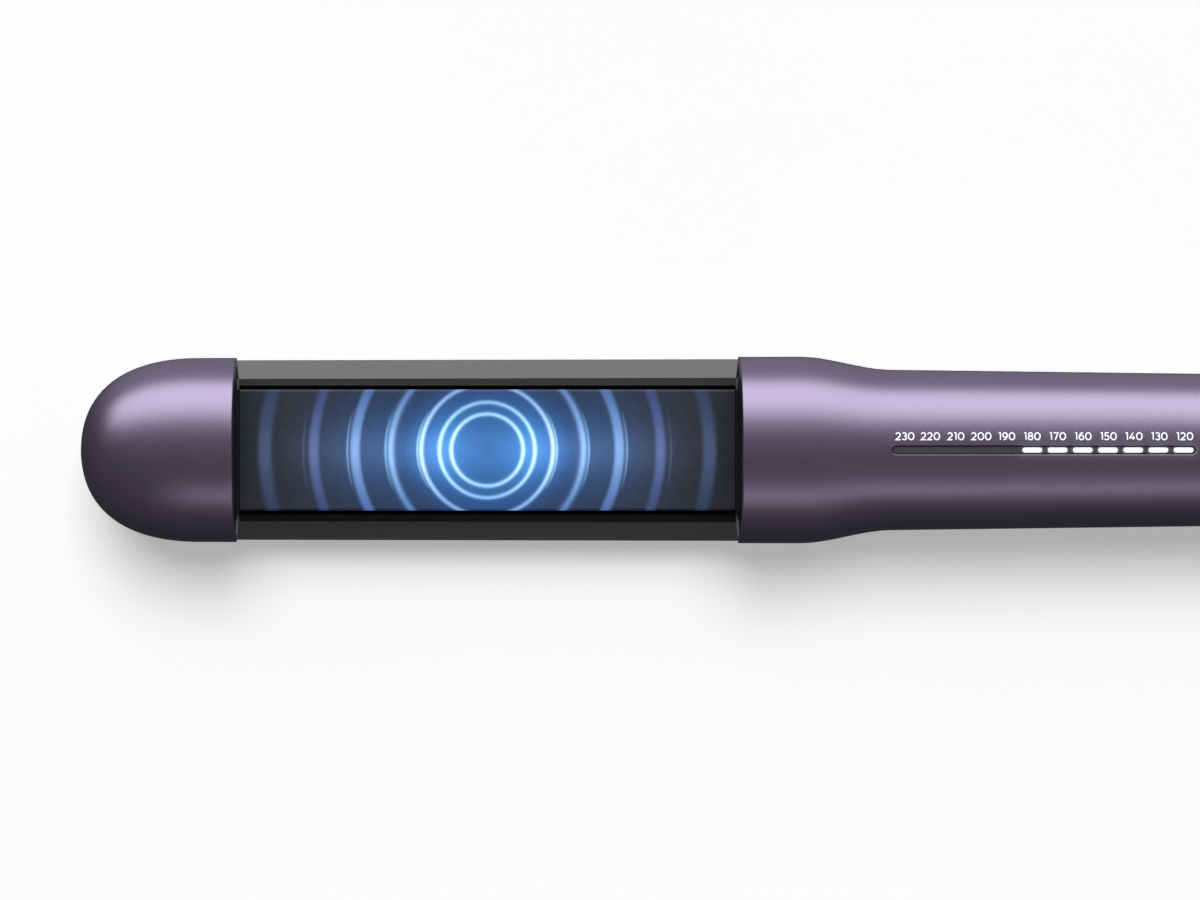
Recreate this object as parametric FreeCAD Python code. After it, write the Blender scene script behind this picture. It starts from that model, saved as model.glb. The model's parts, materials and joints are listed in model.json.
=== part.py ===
import FreeCAD, Part
import math
import os

# Hair straightening iron (flat iron), millimetres, +Z up, resting on its lower arm.
# X runs from the tip (-X) to the cord end (+X); Y is across; the plates meet at MATE_Z.
# The origin is under the middle of the iron, on the surface that it lies on.

V = FreeCAD.Vector

# ---- driving dimensions -------------------------------------------------------------
LENGTH = 322.0
TIP_X = -LENGTH / 2
TAIL_X = LENGTH / 2
MATE_Z = 17.0                 # plane where the two hot plates meet
HALF_BAND = 6.4               # from that plane to each arm's widest level
WALL = 1.6                    # casing wall
RIM_ROUND = 0.3               # rounding of the upper casings' open ends
SEAM_ROUND = 0.4              # rounding of the grip casing beside the hinge housing
HOUSING_ROUND = 0.5           # rounding of the hinge housing's front edge
GAP = 0.3                     # between pieces that move past each other

# plan outline of both arms
TIP_LEN = 26.0
TIP_FULLNESS = 0.64           # handle length of the tip's curve: 0.55 would be an ellipse
TIP_HALF = 20.24
HEAD_HALF = 20.53
NECK_X = (-3.0, 17.0)         # where the head narrows into the grip
GRIP_HALF = 17.65
GRIP_TAPER = 0.0127           # loss of half width per millimetre along the grip
GRIP_END = 130.0

# casing heights over (or under) the widest level
UPPER_RISE = 10.6
LOWER_RISE = 11.1             # its crest is then cut flat at z = 0 to rest on
LOWER_WALL = 1.9

# opening between the two upper casings, where the heating bar lies open
TIP_RIM_X = -126.8
HEAD_RIM_X = -16.5

# dark inner covers, described for the lower arm and mirrored for the upper
FACE_DROP = 1.4               # from the mating plane to the cover's flat face
SHOULDER_INSET = 4.4
COVER_WALL = 1.5
BULKHEAD_RECESS = 0.2
BULKHEAD_LAP = 2.0            # how far a bulkhead's band stands out beside the bar
WINDOW_X = (-128.5, -14.8)
WINDOW_HALF = 14.4
COVER_SPLIT_X = -3.0

# hot plates and their heaters
PLATE_X = (-126.2, -17.1)
PLATE_HALF = 12.5
PLATE_THICK = 1.3
PLATE_LEG = 1.2
HEATER_X = (-114.0, -29.0)
HEATER_HALF = 5.5
HEATER_THICK = 1.0
CLAMP_THICK = 0.3
PLATE_FREE = 0.15             # half of the clearance between the closed plates
PLATE_EDGE_ROUND = 0.9

# heating bar of the upper arm
BAR_TOP = 22.0
BAR_HALF = 13.35
BAR_COVER_THICK = 0.8
BAR_WEB = 0.6
BAR_FLANGE = 0.5
BAR_BEVEL = 0.45
BAR_SEAM = 0.2
BAR_BLOCK_X = (-142.0, 10.0)

# display strip and push buttons on the grip
SLOT_X = (15.8, 81.2)
SLOT_WIDTH = 2.3
LEVELS = 12
LEVEL_X0 = 18.7
LEVEL_PITCH = 5.437
DASH = (4.2, 1.2)
BOARD_Z = (26.6, 27.8)
LED_HEIGHT = 0.8
BUTTONS = {"temp_down_button": 88.0, "temp_up_button": 96.0, "power_button": 106.0}
BUTTON_R = 2.6
BUTTON_FLANGE_R = 3.1
BUTTON_FLANGE = 0.5
BUTTON_PROUD = 0.5            # of the casing's crest
BUTTON_DISH_R = 9.0
BUTTON_DISH = 0.22            # depth of the dished top
BUTTON_RIM_ROUND = 0.4
FLANGE_DEPTH = 0.75           # from the casing's inside to a button's flange

# hinge
PIN = V(136.0, 0.0, MATE_Z)
PIN_R = 2.0
PIN_HALF = 14.6
BUSH_R = 3.0
BUSH_RUN = 0.03               # radial running clearance on the pin
HUB_R = 6.0
HUB_HALF = 9.2
EAR_Y = (9.8, 12.3)
KNUCKLE_R = 21.1
KNUCKLE_HALF = 17.0
KNUCKLE_X = (112.0, 150.0)
KNUCKLE_ROUND = 14.0
CAP_R = 5.0
CAP_RING = (3.6, 3.2, 0.25)   # outer and inner radius and depth of the cap's groove
CAP_ROUND = 0.5
ARM_Z = (19.9, 22.5)
ARM_X0 = 103.0
ARM_SLOT_HALF = 9.6
ARM_SLOT_TOP = 28.9
SPRING_X = 78.0
SPRING_R = 3.4
SPRING_WIRE_R = 0.4
SPRING_PITCH = 2.4
CUP_R = 5.2
CUP_DEPTH = 6.6
CUP_WALL = 0.8

# lock slider and cord swivel
LOCK_X = (130.0, 142.0)
LOCK_TRAVEL = 4.0
LOCK_STEM_HALF = 1.6
LOCK_HALF = 4.0
LOCK_PROUD = (0.1, 1.7)       # the grip pad's underside and top over the housing
LOCK_ROUND = 0.7
LOCK_GROOVE_R = 0.7
LOCK_GROOVE_PITCH = 2
LOCK_TONGUE_HALF = 3.0
LOCK_TONGUE_Z = (-1.6, -0.6)  # from the inside of the housing
SWIVEL_R = 6.0
SWIVEL_RUN = 0.05
SWIVEL_FLANGE_R = 7.6
SWIVEL_FLANGE = 1.9
SWIVEL_X = (143.5, 152.0)     # straight barrel; the nose tapers behind it
SWIVEL_TAPER = 1.0
SWIVEL_NOSE_ROUND = 0.6
WIRE_WAY_R = 2.4
INLET_R = 3.5
INLET_DEPTH = 12.0

LOW_RIM = MATE_Z - HALF_BAND
HIGH_RIM = MATE_Z + HALF_BAND
LOW_FACE = MATE_Z - FACE_DROP
X_AXIS = V(1, 0, 0)
Y_AXIS = V(0, 1, 0)
Z_AXIS = V(0, 0, 1)


# ---- helpers ------------------------------------------------------------------------
def block(x, y, z):
    """A box from its ranges along X, Y and Z."""
    return Part.makeBox(x[1] - x[0], y[1] - y[0], z[1] - z[0], V(x[0], y[0], z[0]))


def bar(x, half_y, z):
    """A box that is centred on the XZ plane."""
    return block(x, (-half_y, half_y), z)


def rod(start, axis, radius, length):
    """A cylinder from its start point along an axis."""
    return Part.makeCylinder(radius, length, V(*start), axis)


def tube(start, axis, outer, inner, length):
    """A straight round tube."""
    return rod(start, axis, outer, length).cut(rod(start, axis, inner, length))


def joined(shapes):
    """One solid from shapes that touch."""
    shapes = list(shapes)
    return shapes[0].fuse(shapes[1:]).removeSplitter()


def group(shapes):
    """Separate solids kept together in one node."""
    return Part.Compound([solid for shape in shapes for solid in shape.Solids])


def flip(shape):
    """The same shape on the other side of the mating plane."""
    return shape.mirror(V(0, 0, MATE_Z), Z_AXIS)


def both_sides(shape):
    """The shape and its mirror image across the XZ plane."""
    return [shape, shape.mirror(V(0, 0, 0), Y_AXIS)]


def bezier(points):
    curve = Part.BezierCurve()
    curve.setPoles(points)
    return curve.toShape()


def clip_x(shape, x0, x1):
    """The stretch of a shape between two stations along the iron."""
    return shape.common(block((x0, x1), (-40, 40), (-20, 60)))


def rounded_long_edges(shape, radius, level):
    """Round the edges that run along X at one height."""
    edges = [e for e in shape.Edges
             if abs(e.BoundBox.ZMax - level) < 1e-6 and e.BoundBox.ZLength < 1e-6
             and e.BoundBox.YLength < 1e-6]
    return shape.makeFillet(radius, edges)


# ---- outlines and casing solids -----------------------------------------------------
def grip_half(x):
    """Half width of the grip at a station behind the neck."""
    return GRIP_HALF - GRIP_TAPER * (x - NECK_X[1])


def half_outline(inset):
    """Plan outline on the +Y side: rounded tip, head, neck and tapering grip."""
    tip = TIP_X + inset
    shoulder = TIP_X + TIP_LEN
    top = TIP_HALF - inset
    third = (NECK_X[1] - NECK_X[0]) / 3
    head = HEAD_HALF - inset
    grip = GRIP_HALF - inset
    reach = TIP_FULLNESS * (shoulder - tip)
    return [
        bezier([V(tip, 0, 0), V(tip, TIP_FULLNESS * top, 0),
                V(shoulder - reach, top, 0), V(shoulder, top, 0)]),
        Part.makeLine(V(shoulder, top, 0), V(NECK_X[0], head, 0)),
        bezier([V(NECK_X[0], head, 0), V(NECK_X[0] + third, head, 0),
                V(NECK_X[1] - third, grip + GRIP_TAPER * third, 0), V(NECK_X[1], grip, 0)]),
        Part.makeLine(V(NECK_X[1], grip, 0), V(GRIP_END, grip_half(GRIP_END) - inset, 0)),
    ]


def knuckle_half_outline(inset):
    """Plan outline of the hinge housing on the +Y side, rounded at the cord end."""
    half = KNUCKLE_HALF - inset
    end = KNUCKLE_X[1] - inset
    shoulder = KNUCKLE_X[1] - KNUCKLE_ROUND
    reach = TIP_FULLNESS * (end - shoulder)
    return [
        Part.makeLine(V(KNUCKLE_X[0], 0, 0), V(KNUCKLE_X[0], half, 0)),
        Part.makeLine(V(KNUCKLE_X[0], half, 0), V(shoulder, half, 0)),
        bezier([V(shoulder, half, 0), V(shoulder + reach, half, 0),
                V(end, TIP_FULLNESS * half, 0), V(end, 0, 0)]),
    ]


def closed_wire(edges, z):
    """A plan outline's half and its mirror image, as one closed wire at a height."""
    start = edges[0].valueAt(edges[0].FirstParameter)
    end = edges[-1].valueAt(edges[-1].LastParameter)
    far = [e.mirror(V(0, 0, 0), Y_AXIS) for e in edges]
    caps = [Part.makeLine(p, V(p.x, -p.y, 0)) for p in (start, end) if abs(p.y) > 1e-6]
    wire = Part.Wire(Part.__sortEdges__(edges + far + caps))
    wire.translate(V(0, 0, z))
    return wire


def dome(edges, ratio, up, level):
    """Half a solid of revolution about X, flattened in Z by a ratio, on a rim level."""
    start = edges[0].valueAt(edges[0].FirstParameter)
    end = edges[-1].valueAt(edges[-1].LastParameter)
    feet = [V(p.x, 0, 0) for p in (start, end)]
    close = [Part.makeLine(p, f) for p, f in zip((start, end), feet) if abs(p.y) > 1e-6]
    axis_edge = Part.makeLine(feet[0], feet[1])
    face = Part.Face(Part.Wire(Part.__sortEdges__(edges + close + [axis_edge])))
    solid = face.revolve(V(0, 0, 0), X_AXIS, 180 if up else -180)
    squash = FreeCAD.Matrix()
    squash.A33 = ratio
    solid = solid.transformGeometry(squash)
    solid.translate(V(0, 0, level))
    return solid


def upper_dome(inset):
    """The upper arm's casing form; inset by the wall, it is the hollow inside."""
    return dome(half_outline(inset), (UPPER_RISE - inset) / (HEAD_HALF - inset), True, HIGH_RIM)


def lower_dome(inset):
    """The lower arm's casing form, or its hollow."""
    drop = LOWER_WALL * inset / WALL
    return dome(half_outline(inset), (LOWER_RISE - drop) / (HEAD_HALF - inset), False, LOW_RIM)


def knuckle(inset):
    """The hinge housing: round in front about the pin, full height, rounded behind."""
    edges = knuckle_half_outline(inset)
    half = KNUCKLE_HALF - inset
    drop = LOWER_WALL * inset / WALL
    band = Part.Face(closed_wire(edges, LOW_RIM)).extrude(V(0, 0, 2 * HALF_BAND))
    top = dome(edges, (UPPER_RISE - inset) / half, True, HIGH_RIM)
    bottom = dome(edges, (LOWER_RISE - drop) / half, False, LOW_RIM)
    front = pin_cylinder(KNUCKLE_R - inset).fuse(bar((PIN.x, TAIL_X), 40, (-20, 60)))
    return band.fuse([top, bottom]).common(front)


def pin_cylinder(radius):
    """A wide cylinder about the hinge axis."""
    return rod((PIN.x, -40, PIN.z), Y_AXIS, radius, 80)


def cover_block(inset_low, z_low, inset_high, z_high):
    """A block with the arm's plan outline, sloping in from one height to another."""
    low = closed_wire(half_outline(inset_low), z_low)
    high = closed_wire(half_outline(inset_high), z_high)
    return Part.makeLoft([low, high], True, True)


def inner_cover():
    """The lower arm's dark inner cover from tip to hinge, hollow underneath."""
    outer = cover_block(0, LOW_RIM, SHOULDER_INSET, LOW_FACE)
    roof = LOW_FACE - COVER_WALL
    roof_inset = SHOULDER_INSET * (roof - LOW_RIM) / (LOW_FACE - LOW_RIM) + COVER_WALL
    return outer.cut(cover_block(COVER_WALL, LOW_RIM, roof_inset, roof))


# ---- lower arm ----------------------------------------------------------------------
RIBS_X = (-105.0, -72.0, -39.0)
RIB_HALF_THICK = 0.6
SHIELD_Z = (11.6, 12.2)
SHIELD_HALF = 14.9
VENTS_X = (-100, -76, -52)
VENT_SIZE = (6, 8)            # length and half width
BUMPER = (-150.0, 7.0)
BUMPER_R = 1.6
LEAD_R = 0.7
LEADS_Y = (-6.5, -4.3, 4.3, 6.5)
BOSS_R = 2.6
SCREW_R = 1.0
SCREW_HEAD_R = 2.0
SCREW_HEAD = 1.2
SCREW_LENGTH = 7.0
SCREW_SLACK = 0.2             # between a screw's head and its counterbore
CROSS = (1.2, 0.25, 0.6)      # half length, half width and depth of the cross recess
LOWER_SCREWS_X = (-140.0, 4.0, 60.0, 98.0)
MAIN_BOARD_X = (16.0, 56.0)
MAIN_BOARD_Z = (4.8, 6.4)
MAIN_BOARD_HALF = 9.2
YOKE_X = (126.0, 141.5)
YOKE_Z = (6.4, 8.2)
YOKE_SCREWS = [(x, y) for x in (129.0, 138.0) for y in (-6.5, 6.5)]
RETAINER_X = (142.4, 143.2)
RETAINER_HALF = 11.0
RETAINER_Z = (9.0, 25.0)
RETAINER_HOLE_R = 3.0
SOCKET_X = (145.8, 149.7)
SOCKET_R = 8.6


def lower_shell():
    """The whole lower casing with the bottom half of the hinge housing."""
    outer = lower_dome(0).fuse(knuckle(0).common(block((100, 170), (-40, 40), (-20, MATE_Z))))
    hollow_arm = lower_dome(WALL)
    hollow_knuckle = knuckle(WALL)
    shell = outer.cut([hollow_arm, hollow_knuckle, bar((-200, 200), 40, (-20, 0))])
    mid_wall = lower_dome(WALL / 2)
    mid_knuckle = knuckle(WALL / 2)
    ribs = [bar((x - RIB_HALF_THICK, x + RIB_HALF_THICK), 40, (0, SHIELD_Z[0])).common(mid_wall)
            for x in RIBS_X]
    posts = [rod((x, 0, 0), Z_AXIS, BOSS_R, LOW_RIM).common(mid_wall) for x in LOWER_SCREWS_X]
    posts += [rod((x, 0, LOW_RIM - 1), Z_AXIS, BOSS_R, LOW_FACE - COVER_WALL - LOW_RIM + 1)
              for x in LOWER_SCREWS_X]
    posts += [rod((x, y, 0), Z_AXIS, BOSS_R, YOKE_Z[0]).common(mid_knuckle)
              for x, y in YOKE_SCREWS]
    shell = shell.fuse(ribs + posts)
    holes = [rod((x, 0, 8.0), Z_AXIS, SCREW_R, 20) for x in LOWER_SCREWS_X]
    holes += [rod((x, y, 2.0), Z_AXIS, SCREW_R, 20) for x, y in YOKE_SCREWS]
    return shell.cut(holes + housing_openings()).removeSplitter()


def housing_openings():
    """Openings that both halves of the hinge housing share: cap holes and swivel hole."""
    caps = rod((PIN.x, -40, PIN.z), Y_AXIS, CAP_R, 80)
    swivel = rod((SOCKET_X[0], 0, MATE_Z), X_AXIS, SOCKET_R, 10)
    return [caps, swivel]


def screw_clearances(xs):
    """Counterbored holes from the lower arm's flat face."""
    shanks = [rod((x, 0, 0), Z_AXIS, SCREW_R, 30) for x in xs]
    heads = [rod((x, 0, LOW_FACE - SCREW_HEAD + SCREW_SLACK), Z_AXIS, SCREW_HEAD_R, 5) for x in xs]
    return shanks + heads


def spring_cup():
    """The seat of the opening spring, hanging under the lower inner cover."""
    start = (SPRING_X, 0, LOW_FACE - CUP_DEPTH)
    return rod(start, Z_AXIS, CUP_R, CUP_DEPTH).cut(
        rod((SPRING_X, 0, LOW_FACE - CUP_DEPTH + CUP_WALL), Z_AXIS, CUP_R - CUP_WALL, CUP_DEPTH))


def lower_plate_frame():
    """The inner cover round the lower plate, from the tip to the neck."""
    frame = clip_x(inner_cover(), TIP_X, COVER_SPLIT_X)
    window = bar(WINDOW_X, WINDOW_HALF, (0, 30))
    return frame.cut([window] + screw_clearances(LOWER_SCREWS_X))


def lower_grip_cover():
    """The inner cover of the grip, ending against the round hinge housing."""
    cover = clip_x(inner_cover(), COVER_SPLIT_X, GRIP_END).cut(pin_cylinder(KNUCKLE_R))
    cover = cover.cut(rod((SPRING_X, 0, 0), Z_AXIS, CUP_R, 30)).fuse(spring_cup())
    return cover.cut(screw_clearances(LOWER_SCREWS_X)).removeSplitter()


def screw(x, y, top):
    """A pan head screw that points down from its top."""
    under = top - SCREW_HEAD + SCREW_SLACK
    head = rod((x, y, under), Z_AXIS, SCREW_HEAD_R - 0.05, SCREW_HEAD - 2 * SCREW_SLACK)
    shank = rod((x, y, top - SCREW_LENGTH), Z_AXIS, SCREW_R, under - top + SCREW_LENGTH)
    reach, half, depth = CROSS
    level = (top - depth, top + 1)
    cross = [block((x - reach, x + reach), (y - half, y + half), level),
             block((x - half, x + half), (y - reach, y + reach), level)]
    return head.fuse(shank).cut(cross)


def lower_screws():
    return group(screw(x, 0, LOW_FACE) for x in LOWER_SCREWS_X)


def yoke_screws():
    return group(screw(x, y, YOKE_Z[1] + SCREW_HEAD) for x, y in YOKE_SCREWS)


def lower_heat_shield():
    """A thin tray on the shell's ribs, between the lower heater and the casing."""
    tray = bar(PLATE_X, SHIELD_HALF, SHIELD_Z)
    length, half = VENT_SIZE
    vents = [bar((x, x + length), half, (0, 30)) for x in VENTS_X]
    return tray.cut(vents)


def tip_bumpers():
    """Two soft stops that keep the upper tip off the lower one."""
    stop = rod((*BUMPER, LOW_FACE), Z_AXIS, BUMPER_R, 2 * FACE_DROP - GAP)
    return group(both_sides(stop))


def main_board():
    return bar(MAIN_BOARD_X, MAIN_BOARD_HALF, MAIN_BOARD_Z)


def board_parts():
    """Power parts on the main board: capacitor, relay, triac, choke and lead block."""
    z = MAIN_BOARD_Z[1]
    capacitor = rod((33.0, -5.0, z + 1.9), X_AXIS, 1.9, 11.0)
    relay = block((32.0, 44.0), (1.0, 6.5), (z, z + 3.4))
    triac = block((47.0, 52.0), (-7.0, -2.0), (z, z + 2.2))
    choke = rod((49.5, 4.0, z), Z_AXIS, 2.6, 3.2)
    lead_block = block((17.0, 23.0), (-7.5, 7.5), (z, z + 3.2))
    return group([capacitor, relay, triac, choke, lead_block])


def lead(points, radius):
    """An insulated wire along straight runs with round corners."""
    points = [V(*p) for p in points]
    pieces = []
    for a, b in zip(points, points[1:]):
        pieces.append(Part.makeCylinder(radius, (b - a).Length, a, b - a))
    pieces += [Part.makeSphere(radius, p) for p in points[1:-1]]
    return joined(pieces)


def lower_leads():
    """Four wires from the lower heater and its sensors to the lead block."""
    return group(lead([(-14.0, y, 13.0), (-7.0, y, 13.0), (8.0, y, 8.0), (17.0, y, 8.0)], LEAD_R)
                 for y in LEADS_Y)


def hinge_yoke():
    """A steel bracket with two ears that hold the hinge pin."""
    base = bar(YOKE_X, EAR_Y[1], YOKE_Z)
    ears = []
    for low in (-EAR_Y[1], EAR_Y[0]):
        span = (low, low + EAR_Y[1] - EAR_Y[0])
        ears.append(block((PIN.x - HUB_R, PIN.x + HUB_R), span, (YOKE_Z[0], PIN.z)))
        ears.append(rod((PIN.x, span[0], PIN.z), Y_AXIS, HUB_R, span[1] - span[0]))
    holes = [rod((x, y, 0), Z_AXIS, SCREW_R, 12) for x, y in YOKE_SCREWS]
    holes.append(rod((PIN.x, -20, PIN.z), Y_AXIS, PIN_R, 40))
    return joined([base] + ears).cut(holes)


def hinge_pin():
    pin = rod((PIN.x, -PIN_HALF, PIN.z), Y_AXIS, PIN_R, 2 * PIN_HALF)
    return pin.makeChamfer(0.4, [e for e in pin.Edges if e.Curve.TypeId == "Part::GeomCircle"])


def hinge_cover():
    """The top half of the hinge housing."""
    above = block((100, 170), (-40, 40), (MATE_Z, 60))
    shell = knuckle(0).cut(knuckle(WALL)).common(above)
    front = [e for e in shell.Edges if e.BoundBox.XMax < PIN.x and e.BoundBox.ZMin > MATE_Z - 0.1
             and e.BoundBox.XLength > 0.5 and abs(e.BoundBox.YMax) > KNUCKLE_HALF - 0.1
             and e.BoundBox.XMin < PIN.x - KNUCKLE_R + 1.1]
    shell = shell.makeFillet(HOUSING_ROUND, front)
    arm_slot = bar((100, 126), ARM_SLOT_HALF, (MATE_Z, ARM_SLOT_TOP))
    reach = (LOCK_X[0] - LOCK_TRAVEL, LOCK_X[1])
    lock_slot = bar((reach[0] + 1.5, reach[1] - 1.5), LOCK_STEM_HALF + GAP, (25, 60))
    return shell.cut([arm_slot, lock_slot] + housing_openings()).removeSplitter()


def hinge_caps():
    """Round caps over the pin's ends, flush with the housing's sides."""
    cap = rod((PIN.x, PIN_HALF + 0.2, PIN.z), Y_AXIS, CAP_R - 0.05, KNUCKLE_HALF - PIN_HALF - 0.2)
    rim = [e for e in cap.Edges if abs(e.BoundBox.YMin - KNUCKLE_HALF) < 1e-6]
    cap = cap.makeFillet(CAP_ROUND, rim)
    outer, inner, depth = CAP_RING
    ring = tube((PIN.x, KNUCKLE_HALF - depth, PIN.z), Y_AXIS, outer, inner, 1)
    return group(both_sides(cap.cut(ring)))


def opening_spring():
    """A compression spring that pushes the arms apart, seated in both inner covers."""
    foot = LOW_FACE - CUP_DEPTH + CUP_WALL + SPRING_WIRE_R + 0.05
    height = 2 * (MATE_Z - foot)
    coil = Part.makeHelix(SPRING_PITCH, height, SPRING_R)
    section = Part.Wire(Part.makeCircle(SPRING_WIRE_R, V(SPRING_R, 0, 0), Y_AXIS))
    spring = Part.Wire(coil).makePipeShell([section], True, True)
    spring.translate(V(SPRING_X, 0, foot))
    return spring


def swivel_socket():
    """The plain bearing that the cord swivel turns in."""
    start = (SOCKET_X[0], 0, MATE_Z)
    return tube(start, X_AXIS, SOCKET_R, SWIVEL_R + SWIVEL_RUN, SOCKET_X[1] - SOCKET_X[0])


def swivel_retainer():
    """A plate behind the swivel's flange that keeps it in its bearing."""
    plate = bar(RETAINER_X, RETAINER_HALF, RETAINER_Z)
    return plate.cut(rod((130, 0, MATE_Z), X_AXIS, RETAINER_HOLE_R, 20))


# ---- hot plates ---------------------------------------------------------------------
def hot_plate(leg_length):
    """A lower hot plate: coated face up, rounded long edges, legs down beside the heater."""
    top = MATE_Z - PLATE_FREE
    plate = bar(PLATE_X, PLATE_HALF, (top - PLATE_THICK, top))
    plate = rounded_long_edges(plate, PLATE_EDGE_ROUND, top)
    leg_z = (top - PLATE_THICK - leg_length, top - PLATE_THICK + 0.3)
    leg_y = (PLATE_HALF - PLATE_LEG - 0.3, PLATE_HALF - 0.3)
    leg = block((PLATE_X[0] + 2, PLATE_X[1] - 2), leg_y, leg_z)
    return joined([plate] + both_sides(leg))


def heater():
    top = MATE_Z - PLATE_FREE - PLATE_THICK
    slab = bar(HEATER_X, HEATER_HALF, (top - HEATER_THICK, top))
    tabs = [bar((HEATER_X[1], HEATER_X[1] + 4), 1.0, (top - 0.7, top - 0.3)).translate(V(0, y, 0))
            for y in (-3, 3)]
    return joined([slab] + tabs)


def heater_clamp():
    """A thin spring steel cover that presses the heater on the plate."""
    top = MATE_Z - PLATE_FREE - PLATE_THICK
    x = (HEATER_X[0] + 6, HEATER_X[1] - 6)
    roof = bar(x, HEATER_HALF + 1.3, (top - HEATER_THICK - CLAMP_THICK, top - HEATER_THICK))
    side = block(x, (HEATER_HALF + 0.8, HEATER_HALF + 1.3), (top - HEATER_THICK, top))
    return joined([roof] + both_sides(side))


def thermistor():
    """The bead that reads the plate's temperature."""
    top = MATE_Z - PLATE_FREE - PLATE_THICK
    return block((-74.0, -70.0), (7.6, 9.4), (top - 1.2, top))


def thermal_fuse():
    """The cut-out fuse beside the lower heater."""
    top = MATE_Z - PLATE_FREE - PLATE_THICK
    return rod((-66.0, -8.6, top - 0.7), X_AXIS, 0.7, 9.0)


def float_cushions(z_far):
    """Soft pads under the ends of a floating plate."""
    top = MATE_Z - PLATE_FREE - PLATE_THICK
    return group(bar((x, x + 4), 4.0, (z_far, top)) for x in (PLATE_X[0] + 3, PLATE_X[1] - 7))


# ---- upper arm ----------------------------------------------------------------------
UPPER_SCREWS_X = (-135.0, 5.0, 56.0)
ARM_SCREWS_X = (107.0, 111.5)


def upper_shell():
    """The upper casing from tip to hinge, before it is parted."""
    return upper_dome(0).cut([upper_dome(WALL), pin_cylinder(KNUCKLE_R + GAP)])


def softened_end(shell, x, radius):
    """Round the outer edge of a casing's flat open end."""
    rim = [e for e in shell.Edges if e.BoundBox.XLength < 1e-4 and abs(e.BoundBox.XMax - x) < 1e-4
           and e.BoundBox.YLength > 2 * (TIP_HALF - 0.5)]
    return shell.makeFillet(radius, rim)


def upper_tip_shell():
    return softened_end(clip_x(upper_shell(), TIP_X - 1, TIP_RIM_X), TIP_RIM_X, RIM_ROUND)


def slot_prism(margin):
    """The display strip's outline as an upright prism with round ends."""
    radius = SLOT_WIDTH / 2 - margin
    ends = [rod((x, 0, 25), Z_AXIS, radius, 20)
            for x in (SLOT_X[0] + SLOT_WIDTH / 2, SLOT_X[1] - SLOT_WIDTH / 2)]
    middle = bar((SLOT_X[0] + SLOT_WIDTH / 2, SLOT_X[1] - SLOT_WIDTH / 2), radius, (25, 45))
    return joined([middle] + ends)


def upper_handle_shell():
    """The purple grip casing with the display slot and three button holes."""
    shell = clip_x(upper_shell(), HEAD_RIM_X, TAIL_X)
    shell = softened_end(shell, HEAD_RIM_X, RIM_ROUND)
    seam = [e for e in shell.Edges if e.BoundBox.XMin > ARM_X0 and e.BoundBox.ZMin > HIGH_RIM - 0.1
            and e.BoundBox.YLength > 2 * (grip_half(PIN.x) - 0.2)]
    shell = shell.makeFillet(SEAM_ROUND, seam)
    holes = [rod((x, 0, 25), Z_AXIS, BUTTON_R + GAP, 20) for x in BUTTONS.values()]
    return shell.cut([slot_prism(0)] + holes)


def bulkhead(x):
    """A black wall that closes a casing's mouth over the heating bar."""
    wall = clip_x(upper_dome(WALL), x, x + COVER_WALL)
    band = bar((x, x + COVER_WALL), BAR_HALF + BULKHEAD_LAP, (BAR_TOP - 1.0, HIGH_RIM))
    opening = bar((x - 1, x + 3), BAR_HALF, (0, BAR_TOP))
    return wall.fuse(band).cut(opening).removeSplitter()


def upper_tip_bulkhead():
    return bulkhead(TIP_RIM_X - BULKHEAD_RECESS - COVER_WALL)


def upper_grip_bulkhead():
    return bulkhead(HEAD_RIM_X + BULKHEAD_RECESS)


def upper_screw_clearances(xs):
    return [flip(hole) for hole in screw_clearances(xs)]


def upper_tip_frame():
    """The dark inner cover of the upper tip."""
    frame = clip_x(flip(inner_cover()), TIP_X, TIP_RIM_X)
    return frame.cut(upper_screw_clearances(UPPER_SCREWS_X))


def upper_handle_frame():
    """The dark inner cover of the upper grip with the opening spring's seat."""
    frame = clip_x(flip(inner_cover()), HEAD_RIM_X, GRIP_END).cut(pin_cylinder(KNUCKLE_R + GAP))
    frame = frame.cut(rod((SPRING_X, 0, 0), Z_AXIS, CUP_R, 30))
    frame = frame.fuse(flip(spring_cup()))
    return frame.cut(upper_screw_clearances(UPPER_SCREWS_X + ARM_SCREWS_X))


def upper_bar_carrier():
    """A channel that carries the upper plate, with end blocks under both casings."""
    web_top = BAR_TOP - BAR_COVER_THICK
    span = (TIP_RIM_X + 0.3, HEAD_RIM_X - 0.3)
    web = bar(span, BAR_HALF, (web_top - BAR_WEB, web_top))
    flange = block(span, (BAR_HALF - BAR_FLANGE, BAR_HALF), (2 * MATE_Z - LOW_FACE - 0.2, web_top))
    floor = 2 * MATE_Z - LOW_FACE + COVER_WALL
    blocks = [bar((BAR_BLOCK_X[0], span[0]), BAR_HALF, (floor, BAR_TOP)),
              bar((span[1], BAR_BLOCK_X[1]), BAR_HALF, (floor, BAR_TOP))]
    holes = [rod((x, 0, 0), Z_AXIS, SCREW_R, 40) for x in UPPER_SCREWS_X[:2]]
    return joined([web] + both_sides(flange) + blocks).cut(holes)


def upper_bar_cover():
    """The glossy strip over the heating bar, with bevelled long edges."""
    x = (TIP_RIM_X + 0.3 + BAR_SEAM, HEAD_RIM_X - 0.3 - BAR_SEAM)
    cover = bar(x, BAR_HALF, (BAR_TOP - BAR_COVER_THICK, BAR_TOP))
    edges = [e for e in cover.Edges if abs(e.BoundBox.ZMin - BAR_TOP) < 1e-6
             and e.BoundBox.YLength < 1e-6]
    return cover.makeChamfer(BAR_BEVEL, edges)


def upper_screws():
    return group([flip(screw(x, 0, LOW_FACE)) for x in UPPER_SCREWS_X + ARM_SCREWS_X])


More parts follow.
